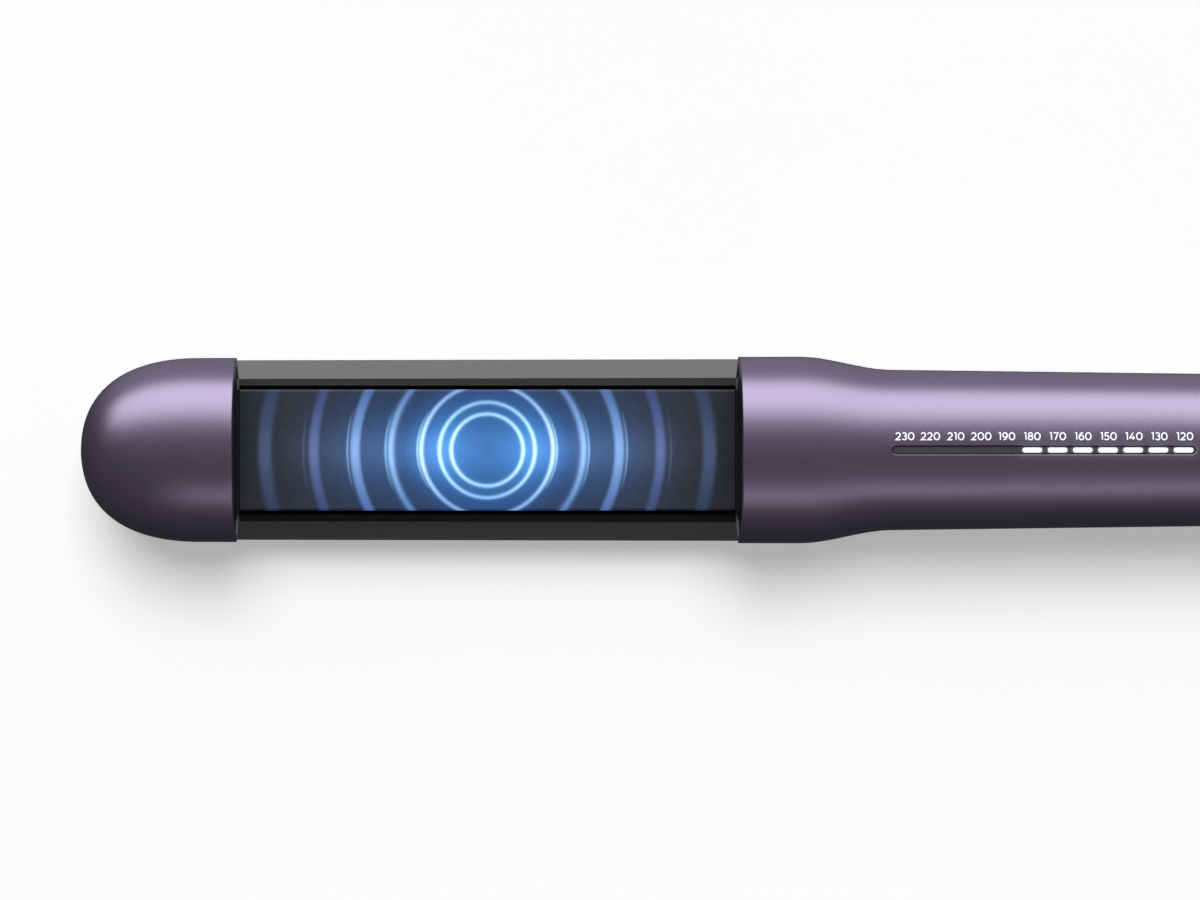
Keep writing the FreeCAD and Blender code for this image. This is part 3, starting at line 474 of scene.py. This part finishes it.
def slot_materials():
    """One material for each finish slot in the record."""
    return {
        "purple_casing": purple_paint(),
        "dark_grey_cover": cover_with_painted_shade(),
        "black_bar": moulded_plastic("black_bar_plastic", (0.008, 0.008, 0.010, 1), 0.45),
        "glossy_bar_cover": glowing_bar_cover(),
        "ceramic_plate": metal("ceramic_plate_coating", (0.105, 0.098, 0.118, 1), 0.24),
        "heater_ceramic": moulded_plastic("heater_white_ceramic", (0.72, 0.70, 0.65, 1), 0.6),
        "spring_steel": metal("spring_steel", (0.60, 0.60, 0.61, 1), 0.25),
        "steel_bracket": metal("zinc_plated_steel", (0.46, 0.46, 0.48, 1), 0.36, (1, 0.1, 1)),
        "coated_shield": moulded_plastic("black_heat_proof_coating", (0.004, 0.004, 0.004, 1), 0.8),
        "polished_steel": metal("ground_steel", (0.70, 0.70, 0.72, 1), 0.15),
        "screw_steel": metal("blackened_screw", (0.10, 0.10, 0.11, 1), 0.35),
        "chrome_trim": metal("satin_chrome_trim", (0.62, 0.60, 0.66, 1), 0.20),
        "dark_button": moulded_plastic("dark_button_plastic", (0.030, 0.026, 0.036, 1), 0.35),
        "soft_rubber": moulded_plastic("soft_rubber", (0.018, 0.018, 0.018, 1), 0.75, 3000.0, 0.3),
        "bush_plastic": moulded_plastic("natural_acetal", (0.62, 0.60, 0.54, 1), 0.38),
        "circuit_board": circuit_board(),
        "board_part": moulded_plastic("moulded_components", (0.030, 0.030, 0.034, 1), 0.4),
        "fuse_metal": metal("fuse_brass", (0.60, 0.45, 0.18, 1), 0.3),
        "lead_insulation": moulded_plastic("silicone_sleeve", (0.60, 0.59, 0.55, 1), 0.55),
        "smoked_window": smoked_window(),
        "light_guide": moulded_plastic("clear_guide", (0.62, 0.64, 0.67, 1), 0.2),
        "lit_dash": lit_white(),
        "printed_white": printed_white(),
        "swivel_plastic": moulded_plastic("swivel_black_plastic", (0.014, 0.014, 0.016, 1), 0.42),
    }


MATERIALS = slot_materials()


def finish_cad_nodes():
    """Give every CAD node its slot's material and smooth shading with crisp corners."""
    for row in frame["record"]["subparts"]:
        node = frame["nodes"][row["node"]]
        node.data.materials.clear()
        node.data.materials.append(MATERIALS[row["material_slot"]])
        node.data.shade_smooth()
        node.data.set_sharp_from_angle(angle=CREASE)


# ---- casing forms -------------------------------------------------------------------
def bezier(points, t):
    """A point on a cubic Bezier curve in the plan."""
    a, b, c, d = points
    s = 1 - t
    return tuple(s ** 3 * a[i] + 3 * s * s * t * b[i] + 3 * s * t * t * c[i] + t ** 3 * d[i]
                 for i in range(2))


def rounded_end(inset, end, shoulder, half):
    """Curve of a casing's rounded end in the plan, from its pole to full width."""
    top = half - inset
    reach = TIP_FULLNESS * (shoulder - end)
    return [(end, 0), (end, TIP_FULLNESS * top), (shoulder - reach, top), (shoulder, top)]


def arm_stations(inset, x0, x1):
    """(x, half width) rows of an arm's outline between two stations."""
    shoulder = TIP_X + TIP_LEN
    rows = []
    if x0 < shoulder:
        curve = rounded_end(inset, TIP_X + inset, shoulder, TIP_HALF)
        rows += [bezier(curve, i / TIP_ROWS) for i in range(TIP_ROWS)]
        x0 = shoulder
    steps = max(2, round((x1 - x0) / ROW_PITCH))
    for i in range(steps + 1):
        x = x0 + (x1 - x0) * i / steps
        rows.append((x, arm_half(x) - inset))
    return rows


def arm_half(x):
    """Half width of either arm behind the rounded tip."""
    if x <= NECK_X[0]:
        t = (x - TIP_X - TIP_LEN) / (NECK_X[0] - TIP_X - TIP_LEN)
        return TIP_HALF + (HEAD_HALF - TIP_HALF) * t
    if x >= NECK_X[1]:
        return GRIP_HALF - GRIP_TAPER * (x - NECK_X[1])
    t = (x - NECK_X[0]) / (NECK_X[1] - NECK_X[0])
    third = (NECK_X[1] - NECK_X[0]) / 3
    near = GRIP_HALF + GRIP_TAPER * third
    head_share = (1 - t) ** 3 + 3 * (1 - t) ** 2 * t
    return head_share * HEAD_HALF + 3 * (1 - t) * t * t * near + t ** 3 * GRIP_HALF


def half_ring(x, half, rise):
    """Points of a half ellipse over the upper rim at one station, from +Y to -Y."""
    points = []
    for j in range(ROUND_STEPS + 1):
        angle = math.pi * j / ROUND_STEPS
        points.append((x, half * math.cos(angle), HIGH_RIM + rise * math.sin(angle)))
    return points


def mesh_of(form, name, recalculate=True):
    """Turn a bmesh into a mesh with its faces outward."""
    if recalculate:
        bmesh.ops.recalc_face_normals(form, faces=form.faces)
    data = bpy.data.meshes.new(name)
    form.to_mesh(data)
    form.free()
    return data


class Skin:
    """Builds one closed mesh out of grids of points that share their edges."""

    def __init__(self):
        self.mesh = bmesh.new()

    def grid(self, rows):
        rows = [[self.mesh.verts.new(p) for p in row] for row in rows]
        for a, b in zip(rows, rows[1:]):
            for j in range(len(a) - 1):
                self.mesh.faces.new((a[j], a[j + 1], b[j + 1], b[j]))

    def build(self, name, slot, body, replaced=()):
        bmesh.ops.remove_doubles(self.mesh, verts=self.mesh.verts, dist=1e-6)
        bmesh.ops.dissolve_degenerate(self.mesh, edges=self.mesh.edges, dist=1e-7)
        return add_piece(name, mesh_of(self.mesh, name), slot, body, replaced)


def add_piece(name, data, slot, body, replaced=()):
    """A visual piece with its slot's material, which rides on a body of the frame."""
    piece = bpy.data.objects.new(name, data)
    scene.collection.objects.link(piece)
    data.materials.clear()
    data.materials.append(MATERIALS[slot])
    data.shade_smooth()
    data.set_sharp_from_angle(angle=CREASE)
    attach(piece, body)
    if replaced:
        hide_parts(*replaced)
    return piece


def cut_prisms(piece, cutters):
    """Cut openings in a piece with cutter meshes, which are then removed."""
    for cutter in cutters:
        modifier = piece.modifiers.new("opening", "BOOLEAN")
        modifier.operation = "DIFFERENCE"
        modifier.solver = "EXACT"
        modifier.object = cutter
    graph = bpy.context.evaluated_depsgraph_get()
    data = bpy.data.meshes.new_from_object(piece.evaluated_get(graph))
    piece.modifiers.clear()
    old = piece.data
    piece.data = data
    bpy.data.meshes.remove(old)
    for cutter in cutters:
        bpy.data.objects.remove(cutter)
    data.shade_smooth()
    data.set_sharp_from_angle(angle=CREASE)


def prism(outline):
    """A cutter through the upper casing with an upright outline."""
    form = bmesh.new()
    low = [form.verts.new((x, y, CUT_Z[0])) for x, y in outline]
    high = [form.verts.new((x, y, CUT_Z[1])) for x, y in outline]
    form.faces.new(list(reversed(low)))
    form.faces.new(high)
    for i in range(len(outline)):
        k = (i + 1) % len(outline)
        form.faces.new((low[i], low[k], high[k], high[i]))
    cutter = bpy.data.objects.new("cutter", mesh_of(form, "cutter", False))
    scene.collection.objects.link(cutter)
    return cutter


def stadium(x0, x1, radius, steps=12):
    """Outline of a strip along X with round ends between two extreme stations."""
    points = []
    for k in range(steps + 1):
        a = -math.pi / 2 + math.pi * k / steps
        points.append((x1 - radius + radius * math.cos(a), radius * math.sin(a)))
    for k in range(steps + 1):
        a = math.pi / 2 + math.pi * k / steps
        points.append((x0 + radius + radius * math.cos(a), radius * math.sin(a)))
    return points


def circle(x, radius, steps=48):
    """Outline of a circle on the middle line."""
    turns = [2 * math.pi * k / steps for k in range(steps)]
    return [(x + radius * math.cos(a), radius * math.sin(a)) for a in turns]


def casing_rows(stations, inset):
    """Rows of half rings over the upper arm for one skin of its casing."""
    ratio = (UPPER_RISE - inset) / (HEAD_HALF - inset)
    return [half_ring(x, half, half * ratio) for x, half in stations]


def rim_rows(x_end, toward):
    """Extra rows that round a casing's open end."""
    half = arm_half(x_end)
    rows = []
    for k in range(RIM_STEPS + 1):
        a = math.pi / 2 * k / RIM_STEPS
        x = x_end - toward * RIM_ROUND * (1 - math.sin(a))
        rows.append((x, half - RIM_ROUND * (1 - math.cos(a))))
    return rows


def upper_tip_casing():
    """The purple cap of the upper arm, closed round its tip and open towards the bar."""
    outer = arm_stations(0, TIP_X, TIP_RIM_X - RIM_ROUND) + rim_rows(TIP_RIM_X, 1)[1:]
    outside = casing_rows(outer, 0)
    inside = casing_rows(arm_stations(WALL, TIP_X, TIP_RIM_X), WALL)
    skin = Skin()
    skin.grid(outside)
    skin.grid(inside)
    skin.grid([outside[-1], inside[-1]])
    close_rim(skin, outside, inside)
    skin.build("upper_tip_casing", "purple_casing", "upper_arm", ("upper_tip_shell",))


def close_rim(skin, outside, inside):
    """Join the two skins of a casing along its two long rims."""
    for column in (0, -1):
        a = [row[column] for row in outside]
        b = [row[column] for row in inside]
        strip_between(skin, a, b)


def strip_between(skin, a, b):
    """Faces between two chains of points with different counts, walked along X."""
    verts_a = [skin.mesh.verts.new(p) for p in a]
    verts_b = [skin.mesh.verts.new(p) for p in b]
    i = j = 0
    while i < len(a) - 1 or j < len(b) - 1:
        step_a = i < len(a) - 1 and (j == len(b) - 1 or a[i + 1][0] <= b[j + 1][0])
        if step_a:
            corner = (verts_a[i], verts_a[i + 1], verts_b[j])
            i += 1
        else:
            corner = (verts_a[i], verts_b[j + 1], verts_b[j])
            j += 1
        if len({tuple(round(c, 9) for c in v.co) for v in corner}) == 3:
            skin.mesh.faces.new(corner)


def seam_x(z):
    """Station of the round seam in front of the hinge at a height."""
    return PIN_X - math.sqrt(max(SEAM_R ** 2 - (z - MATE_Z) ** 2, 0.0))


def sheared(rows):
    """Pull the rows near the hinge so that the last one lies on the round seam."""
    last = rows[-1][0][0]
    blend_from = last - SEAM_BLEND
    out = []
    for row in rows:
        share = max(0.0, (row[0][0] - blend_from) / (last - blend_from))
        out.append([(x + share * (seam_x(z) - last), y, z) for x, y, z in row])
    return out


def upper_grip_casing():
    """The purple casing from the bar to the hinge, with the display slot and button holes."""
    x_end = seam_x(HIGH_RIM)
    outer = list(reversed(rim_rows(HEAD_RIM_X, -1)))
    outer += arm_stations(0, HEAD_RIM_X + RIM_ROUND, x_end)[1:]
    outside = sheared(casing_rows(outer, 0))
    inside = sheared(casing_rows(arm_stations(WALL, HEAD_RIM_X, x_end), WALL))
    skin = Skin()
    skin.grid(outside)
    skin.grid(inside)
    skin.grid([outside[0], inside[0]])
    skin.grid([outside[-1], inside[-1]])
    close_rim(skin, outside, inside)
    piece = skin.build("upper_grip_casing", "purple_casing", "upper_arm", ("upper_handle_shell",))
    cutters = [prism(slot_outline(LIP))]
    for name in ("temp_down_button", "temp_up_button", "power_button"):
        low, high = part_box(name)
        cutters.append(prism(circle((low.x + high.x) / 2, BUTTON_HOLE_R + LIP)))
    cut_prisms(piece, cutters)


# ---- display ------------------------------------------------------------------------
def crest_z(x, y):
    """Height of the upper casing's outside over a point of the plan."""
    half = arm_half(x)
    return HIGH_RIM + half * UPPER_RISE / HEAD_HALF * math.sqrt(max(0.0, 1 - (y / half) ** 2))


def band(name, outline_of, section, slot):
    """A closed ring round an outline: section is a loop of (offset outward, depth) pairs.

    outline_of(offset) gives the outline grown by an offset, always with as many points."""
    form = bmesh.new()
    loops = []
    for offset, depth in section:
        loops.append([form.verts.new((x, y, crest_z(x, y) - depth)) for x, y in outline_of(offset)])
    for a, b in zip(loops, loops[1:] + loops[:1]):
        for i in range(len(a)):
            k = (i + 1) % len(a)
            form.faces.new((a[i], a[k], b[k], b[i]))
    add_piece(name, mesh_of(form, name), slot, "upper_arm")


def lip(name, outline_of):
    """The rounded lip of an opening in the grip casing."""
    section = []
    for k in range(LIP_STEPS + 1):
        a = math.pi / 2 * k / LIP_STEPS
        section.append((LIP * (1 - math.sin(a)), LIP * (1 - math.cos(a))))
    section += [(0.0, LIP_FOOT), (LIP, LIP_FOOT)]
    band(name, outline_of, section, "purple_casing")


def slot_outline(offset):
    """The display slot's outline, grown outward."""
    offset -= SLOT_CLOSER
    radius = (window_high.y - window_low.y) / 2 + offset
    x0 = window_low.x - SLOT_PAST[0] - offset
    x1 = window_high.x + SLOT_PAST[1] + offset
    return stadium(x0, x1, radius, 24)


def plate_on_casing(name, outline, sink, thick, slot, replaced=()):
    """A thin plate that follows the casing's crest, a little below or above it."""
    form = bmesh.new()
    top = [form.verts.new((x, y, crest_z(x, y) - sink)) for x, y in outline]
    low = [form.verts.new((x, y, crest_z(x, y) - sink - thick)) for x, y in outline]
    form.faces.new(top)
    form.faces.new(list(reversed(low)))
    for i in range(len(outline)):
        k = (i + 1) % len(outline)
        form.faces.new((low[i], low[k], top[k], top[i]))
    bmesh.ops.triangulate(form, faces=[f for f in form.faces if len(f.verts) > 4])
    add_piece(name, mesh_of(form, name), slot, "upper_arm", replaced)


def display():
    """The sunk window with its black gasket, the slot's lip and the lit dashes."""
    lip("display_slot_lip", slot_outline)
    section = [(-GASKET_WIDTH, GASKET_SINK), (0.0, GASKET_SINK), (0.0, GASKET_FOOT),
               (-GASKET_WIDTH, GASKET_FOOT)]
    band("display_gasket", slot_outline, section, "black_bar")
    plate_on_casing("display_glass", slot_outline(-GASKET_WIDTH), WINDOW_SINK, GLASS_THICK,
                    "smoked_window", ("display_window",))
    for level in range(LEVELS - LIT, LEVELS):
        x = LEVEL_X0 + level * LEVEL_PITCH
        outline = stadium(x - DASH_LENGTH / 2, x + DASH_LENGTH / 2, DASH_WIDTH / 2)
        plate_on_casing(f"lit_dash_{HOTTEST - STEP * level}", outline, WINDOW_SINK - DASH_PROUD,
                        DASH_THICK, "lit_dash")


# ---- printed numbers ----------------------------------------------------------------
def arc(x, y, rx, ry, start, end, steps=14):
    """Points along an ellipse, from one angle to another in degrees."""
    return [(x + rx * math.cos(math.radians(start + (end - start) * k / steps)),
             y + ry * math.sin(math.radians(start + (end - start) * k / steps)))
            for k in range(steps + 1)]


def digit_strokes(digit):
    """Width and centre lines of a round sans-serif digit one unit tall."""
    six_stem = arc(0.60, 0.33, 0.60, 0.67, 180, 88)
    return {
        "0": (0.84, [arc(0.42, 0.5, 0.42, 0.5, 0, 360, 32)]),
        "1": (0.33, [[(0.0, 1.0), (0.26, 1.0), (0.26, 0.0)]]),
        "2": (0.70, [arc(0.33, 0.69, 0.33, 0.31, 160, -38) + [(0.0, 0.0), (0.70, 0.0)]]),
        "3": (0.63, [arc(0.29, 0.75, 0.28, 0.25, 150, -90), arc(0.29, 0.27, 0.34, 0.27, 90, -150)]),
        "4": (0.76, [[(0.50, 1.0), (0.0, 0.27), (0.76, 0.27)], [(0.56, 0.55), (0.56, 0.0)]]),
        "5": (0.64, [[(0.60, 1.0), (0.12, 1.0), (0.07, 0.55)] + arc(0.28, 0.30, 0.36, 0.30, 118, -150)]),
        "6": (0.70, [arc(0.36, 0.32, 0.34, 0.32, 0, 360, 28), six_stem]),
        "7": (0.66, [[(0.0, 1.0), (0.66, 1.0), (0.22, 0.0)]]),
        "8": (0.68, [arc(0.34, 0.75, 0.27, 0.25, 0, 360, 24), arc(0.34, 0.26, 0.34, 0.26, 0, 360, 28)]),
        "9": (0.70, [[(0.70 - x, 1.0 - y) for x, y in stroke]
                     for stroke in (arc(0.36, 0.32, 0.34, 0.32, 0, 360, 28), six_stem)]),
    }[digit]


def ribbon_sides(points, half):
    """Left and right edges of a stroke, with mitred corners and square ends."""
    closed = math.dist(points[0], points[-1]) < 1e-6
    if closed:
        points = points[:-1]
    count = len(points)
    sides = ([], [])
    for i, point in enumerate(points):
        before = points[i - 1] if closed or i > 0 else None
        after = points[(i + 1) % count] if closed or i < count - 1 else None
        here = Vector(point)
        ways = [(here - Vector(before)).normalized()] if before else []
        ways += [(Vector(after) - here).normalized()] if after else []
        way = sum(ways, Vector((0, 0))).normalized()
        normal = Vector((-way.y, way.x))
        reach = half / max(0.35, way.dot(ways[0]))
        for side, sign in zip(sides, (1, -1)):
            side.append(here + sign * reach * normal)
    return sides, closed


def ink(form, points, half, surface, rise):
    """A printed stroke: a thin ribbon that lies on a surface."""
    (left, right), closed = ribbon_sides(points, half)
    rings = []
    for a, b in zip(left, right):
        ring = [(a, rise), (b, rise), (b, -INK), (a, -INK)]
        rings.append([form.verts.new((p.x, p.y, surface(p.x, p.y) + lift)) for p, lift in ring])
    pairs = list(zip(rings, rings[1:]))
    if closed:
        pairs.append((rings[-1], rings[0]))
    else:
        form.faces.new(rings[0])
        form.faces.new(list(reversed(rings[-1])))
    for a, b in pairs:
        for j in range(4):
            k = (j + 1) % 4
            form.faces.new((a[j], b[j], b[k], a[k]))


def printed(name, strokes, half, surface, body, slot="printed_white"):
    """One printed mark from its strokes; each stroke lies a little higher than the last."""
    form = bmesh.new()
    for order, points in enumerate(strokes):
        ink(form, points, half, surface, INK * (1 + 0.2 * order))
    add_piece(name, mesh_of(form, name), slot, body)


def numerals():
    """The row of temperatures beside the slot."""
    unit = NUMERAL_TALL * NUMERAL_NARROW
    for level in range(LEVELS):
        text = str(HOTTEST - STEP * level)
        digits = [digit_strokes(digit) for digit in text]
        width = sum(digit[0] for digit in digits) + LETTER_GAP * (len(digits) - 1)
        x = NUMERAL_X0 + level * NUMERAL_PITCH - width * unit / 2
        y = NUMERAL_Y - NUMERAL_TALL / 2
        strokes = []
        for digit_width, lines in digits:
            strokes += [[(x + px * unit, y + py * NUMERAL_TALL) for px, py in line]
                        for line in lines]
            x += (digit_width + LETTER_GAP) * unit
        printed(f"numeral_{text}", strokes, STROKE / 2, crest_z, "upper_arm")


# ---- push buttons -------------------------------------------------------------------
def button_marks():
    """Minus, plus and the usual power symbol in the dished tops, and a lip round each hole."""
    minus = [[(-MARK_HALF, 0), (MARK_HALF, 0)]]
    plus = minus + [[(0, -MARK_HALF), (0, MARK_HALF)]]
    power = [arc(0, 0, MARK_HALF, MARK_HALF, 125, 415, 28), [(0, 0.1 * MM), (0, 1.25 * MARK_HALF)]]
    marks = {"temp_down": (minus, "printed_white"), "temp_up": (plus, "printed_white"),
             "power": (power, "dark_button")}
    for body, (strokes, slot) in marks.items():
        low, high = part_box(body + "_button")
        x = (low.x + high.x) / 2
        centre_z = high.z - BUTTON_DISH + BUTTON_DISH_R

        def dish(px, py, x=x, centre_z=centre_z):
            return centre_z - math.sqrt(BUTTON_DISH_R ** 2 - (px - x) ** 2 - py ** 2)

        turned = [[(x + px, py) for px, py in stroke] for stroke in strokes]
        printed(body + "_mark", turned, MARK_STROKE / 2, dish, body, slot)
        lip(body + "_hole_lip", lambda offset, x=x: circle(x, BUTTON_HOLE_R + offset))


# ---- opening spring -----------------------------------------------------------------
def opening_spring():
    """The coil spring between its two seats, which on the real iron stretches as the arms open; this
    coil is built at one length.
    """
    low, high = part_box("opening_spring")
    x = (low.x + high.x) / 2
    radius = (high.y - low.y) / 2 - SPRING_WIRE_R
    curve = bpy.data.curves.new("opening_coil", "CURVE")
    curve.dimensions = "3D"
    curve.bevel_depth = SPRING_WIRE_R
    curve.bevel_resolution = 5
    curve.use_fill_caps = True
    spline = curve.splines.new("POLY")
    spans = int(SPRING_TURNS * SPRING_STEPS)
    spline.points.add(spans)
    for i, point in enumerate(spline.points):
        angle = 2 * math.pi * SPRING_TURNS * i / spans
        rise = (high.z - low.z - 2 * SPRING_WIRE_R) * i / spans
        point.co = (x + radius * math.cos(angle), radius * math.sin(angle),
                    low.z + SPRING_WIRE_R + rise, 1.0)
    holder = bpy.data.objects.new("opening_coil", curve)
    scene.collection.objects.link(holder)
    graph = bpy.context.evaluated_depsgraph_get()
    data = bpy.data.meshes.new_from_object(holder.evaluated_get(graph))
    bpy.data.objects.remove(holder)
    coil = bpy.data.objects.new("opening_coil_spring", data)
    scene.collection.objects.link(coil)
    data.materials.clear()
    data.materials.append(MATERIALS["spring_steel"])
    data.shade_smooth()
    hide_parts("opening_spring")
    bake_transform(coil)


# ---- camera, floor and light --------------------------------------------------------
def add_camera():
    """Straight above the bar; the shift puts the glow left of the picture's middle."""
    data = bpy.data.cameras.new("camera")
    data.sensor_width = SENSOR
    data.lens = SENSOR * CAMERA_HEIGHT / VIEW_WIDTH
    data.shift_x = VIEW_SHIFT
    data.clip_start = 0.01
    camera = bpy.data.objects.new("camera", data)
    camera.location = (CAMERA_X, 0, HIGH_RIM + CAMERA_HEIGHT)
    scene.collection.objects.link(camera)
    scene.camera = camera


def add_floor():
    """A pale matt floor that also glows a little, as a lit backdrop does."""
    form = bmesh.new()
    corners = ((-1, -1), (1, -1), (1, 1), (-1, 1))
    form.faces.new([form.verts.new((x * FLOOR_HALF, y * FLOOR_HALF, FLOOR_Z)) for x, y in corners])
    data = mesh_of(form, "floor", False)
    floor = bpy.data.objects.new("floor", data)
    scene.collection.objects.link(floor)
    m = Nodes("pale_floor")
    m.mottle((0.80, 0.80, 0.805, 1), 0.01, 4.0)
    m.set(Roughness=0.9, Specular_IOR_Level=0.1)
    m.set(Emission_Color=FLOOR_GLOW, Emission_Strength=1.0)
    data.materials.append(m.material)
    floor.visible_glossy = False
    floor.visible_diffuse = False
    return floor


def add_light(name, kind, location, target, energy):
    data = bpy.data.lights.new(name, kind)
    data.energy = energy
    light = bpy.data.objects.new(name, data)
    light.location = location
    direction = Vector(target) - Vector(location)
    light.rotation_euler = direction.to_track_quat("-Z", "Y").to_euler()
    scene.collection.objects.link(light)
    return light


def softbox(name, location, size, energy):
    """A long area light beside the iron, turned towards its middle line."""
    light = add_light(name, "AREA", location, (location[0], 0, LIGHT_TARGET_Z), energy)
    light.data.shape = "RECTANGLE"
    light.data.size, light.data.size_y = size
    return light


def lit_only(light, floor, state):
    """Limit a light to the floor, or keep it off the floor."""
    receivers = bpy.data.collections.new(light.name + "_receivers")
    receivers.objects.link(floor)
    receivers.collection_objects[0].light_linking.link_state = state
    light.light_linking.receiver_collection = receivers


def add_lights(floor):
    """Two long softboxes for the iron, and one wide soft lamp for the floor's shadow."""
    lit_only(softbox("key_softbox", *KEY_LIGHT), floor, "EXCLUDE")
    lit_only(softbox("low_softbox", *LOW_LIGHT), floor, "EXCLUDE")
    location, spread, energy = FLOOR_LIGHT
    lamp = add_light("floor_lamp", "SUN", location, (0, 0, 0), energy)
    lamp.data.angle = math.radians(spread)
    lit_only(lamp, floor, "INCLUDE")


def add_world():
    """Dim surroundings, a little brighter on the +Y side; plain and pale to the camera."""
    world = bpy.data.worlds.new("studio")
    world.use_nodes = True
    tree = world.node_tree
    background = tree.nodes["Background"]
    pale = tree.nodes.new("ShaderNodeBackground")
    pale.inputs["Color"].default_value = (0.93, 0.93, 0.935, 1)
    place = tree.nodes.new("ShaderNodeTexCoord")
    split = tree.nodes.new("ShaderNodeSeparateXYZ")
    tree.links.new(place.outputs["Generated"], split.inputs["Vector"])
    side = tree.nodes.new("ShaderNodeMapRange")
    side.interpolation_type = "SMOOTHSTEP"
    limits = WORLD_RISE + (WORLD_DIM, WORLD_BRIGHT)
    for socket, value in zip(("From Min", "From Max", "To Min", "To Max"), limits):
        side.inputs[socket].default_value = value
    tree.links.new(split.outputs["Y"], side.inputs["Value"])
    background.inputs["Color"].default_value = (0.97, 0.94, 1.0, 1)
    tree.links.new(side.outputs["Result"], background.inputs["Strength"])
    rays = tree.nodes.new("ShaderNodeLightPath")
    mix = tree.nodes.new("ShaderNodeMixShader")
    tree.links.new(rays.outputs["Is Camera Ray"], mix.inputs["Fac"])
    tree.links.new(background.outputs["Background"], mix.inputs[1])
    tree.links.new(pale.outputs["Background"], mix.inputs[2])
    tree.links.new(mix.outputs["Shader"], tree.nodes["World Output"].inputs["Surface"])
    scene.world = world


add_camera()
add_lights(add_floor())
add_world()
finish_cad_nodes()
upper_tip_casing()
upper_grip_casing()
display()
numerals()
button_marks()
opening_spring()
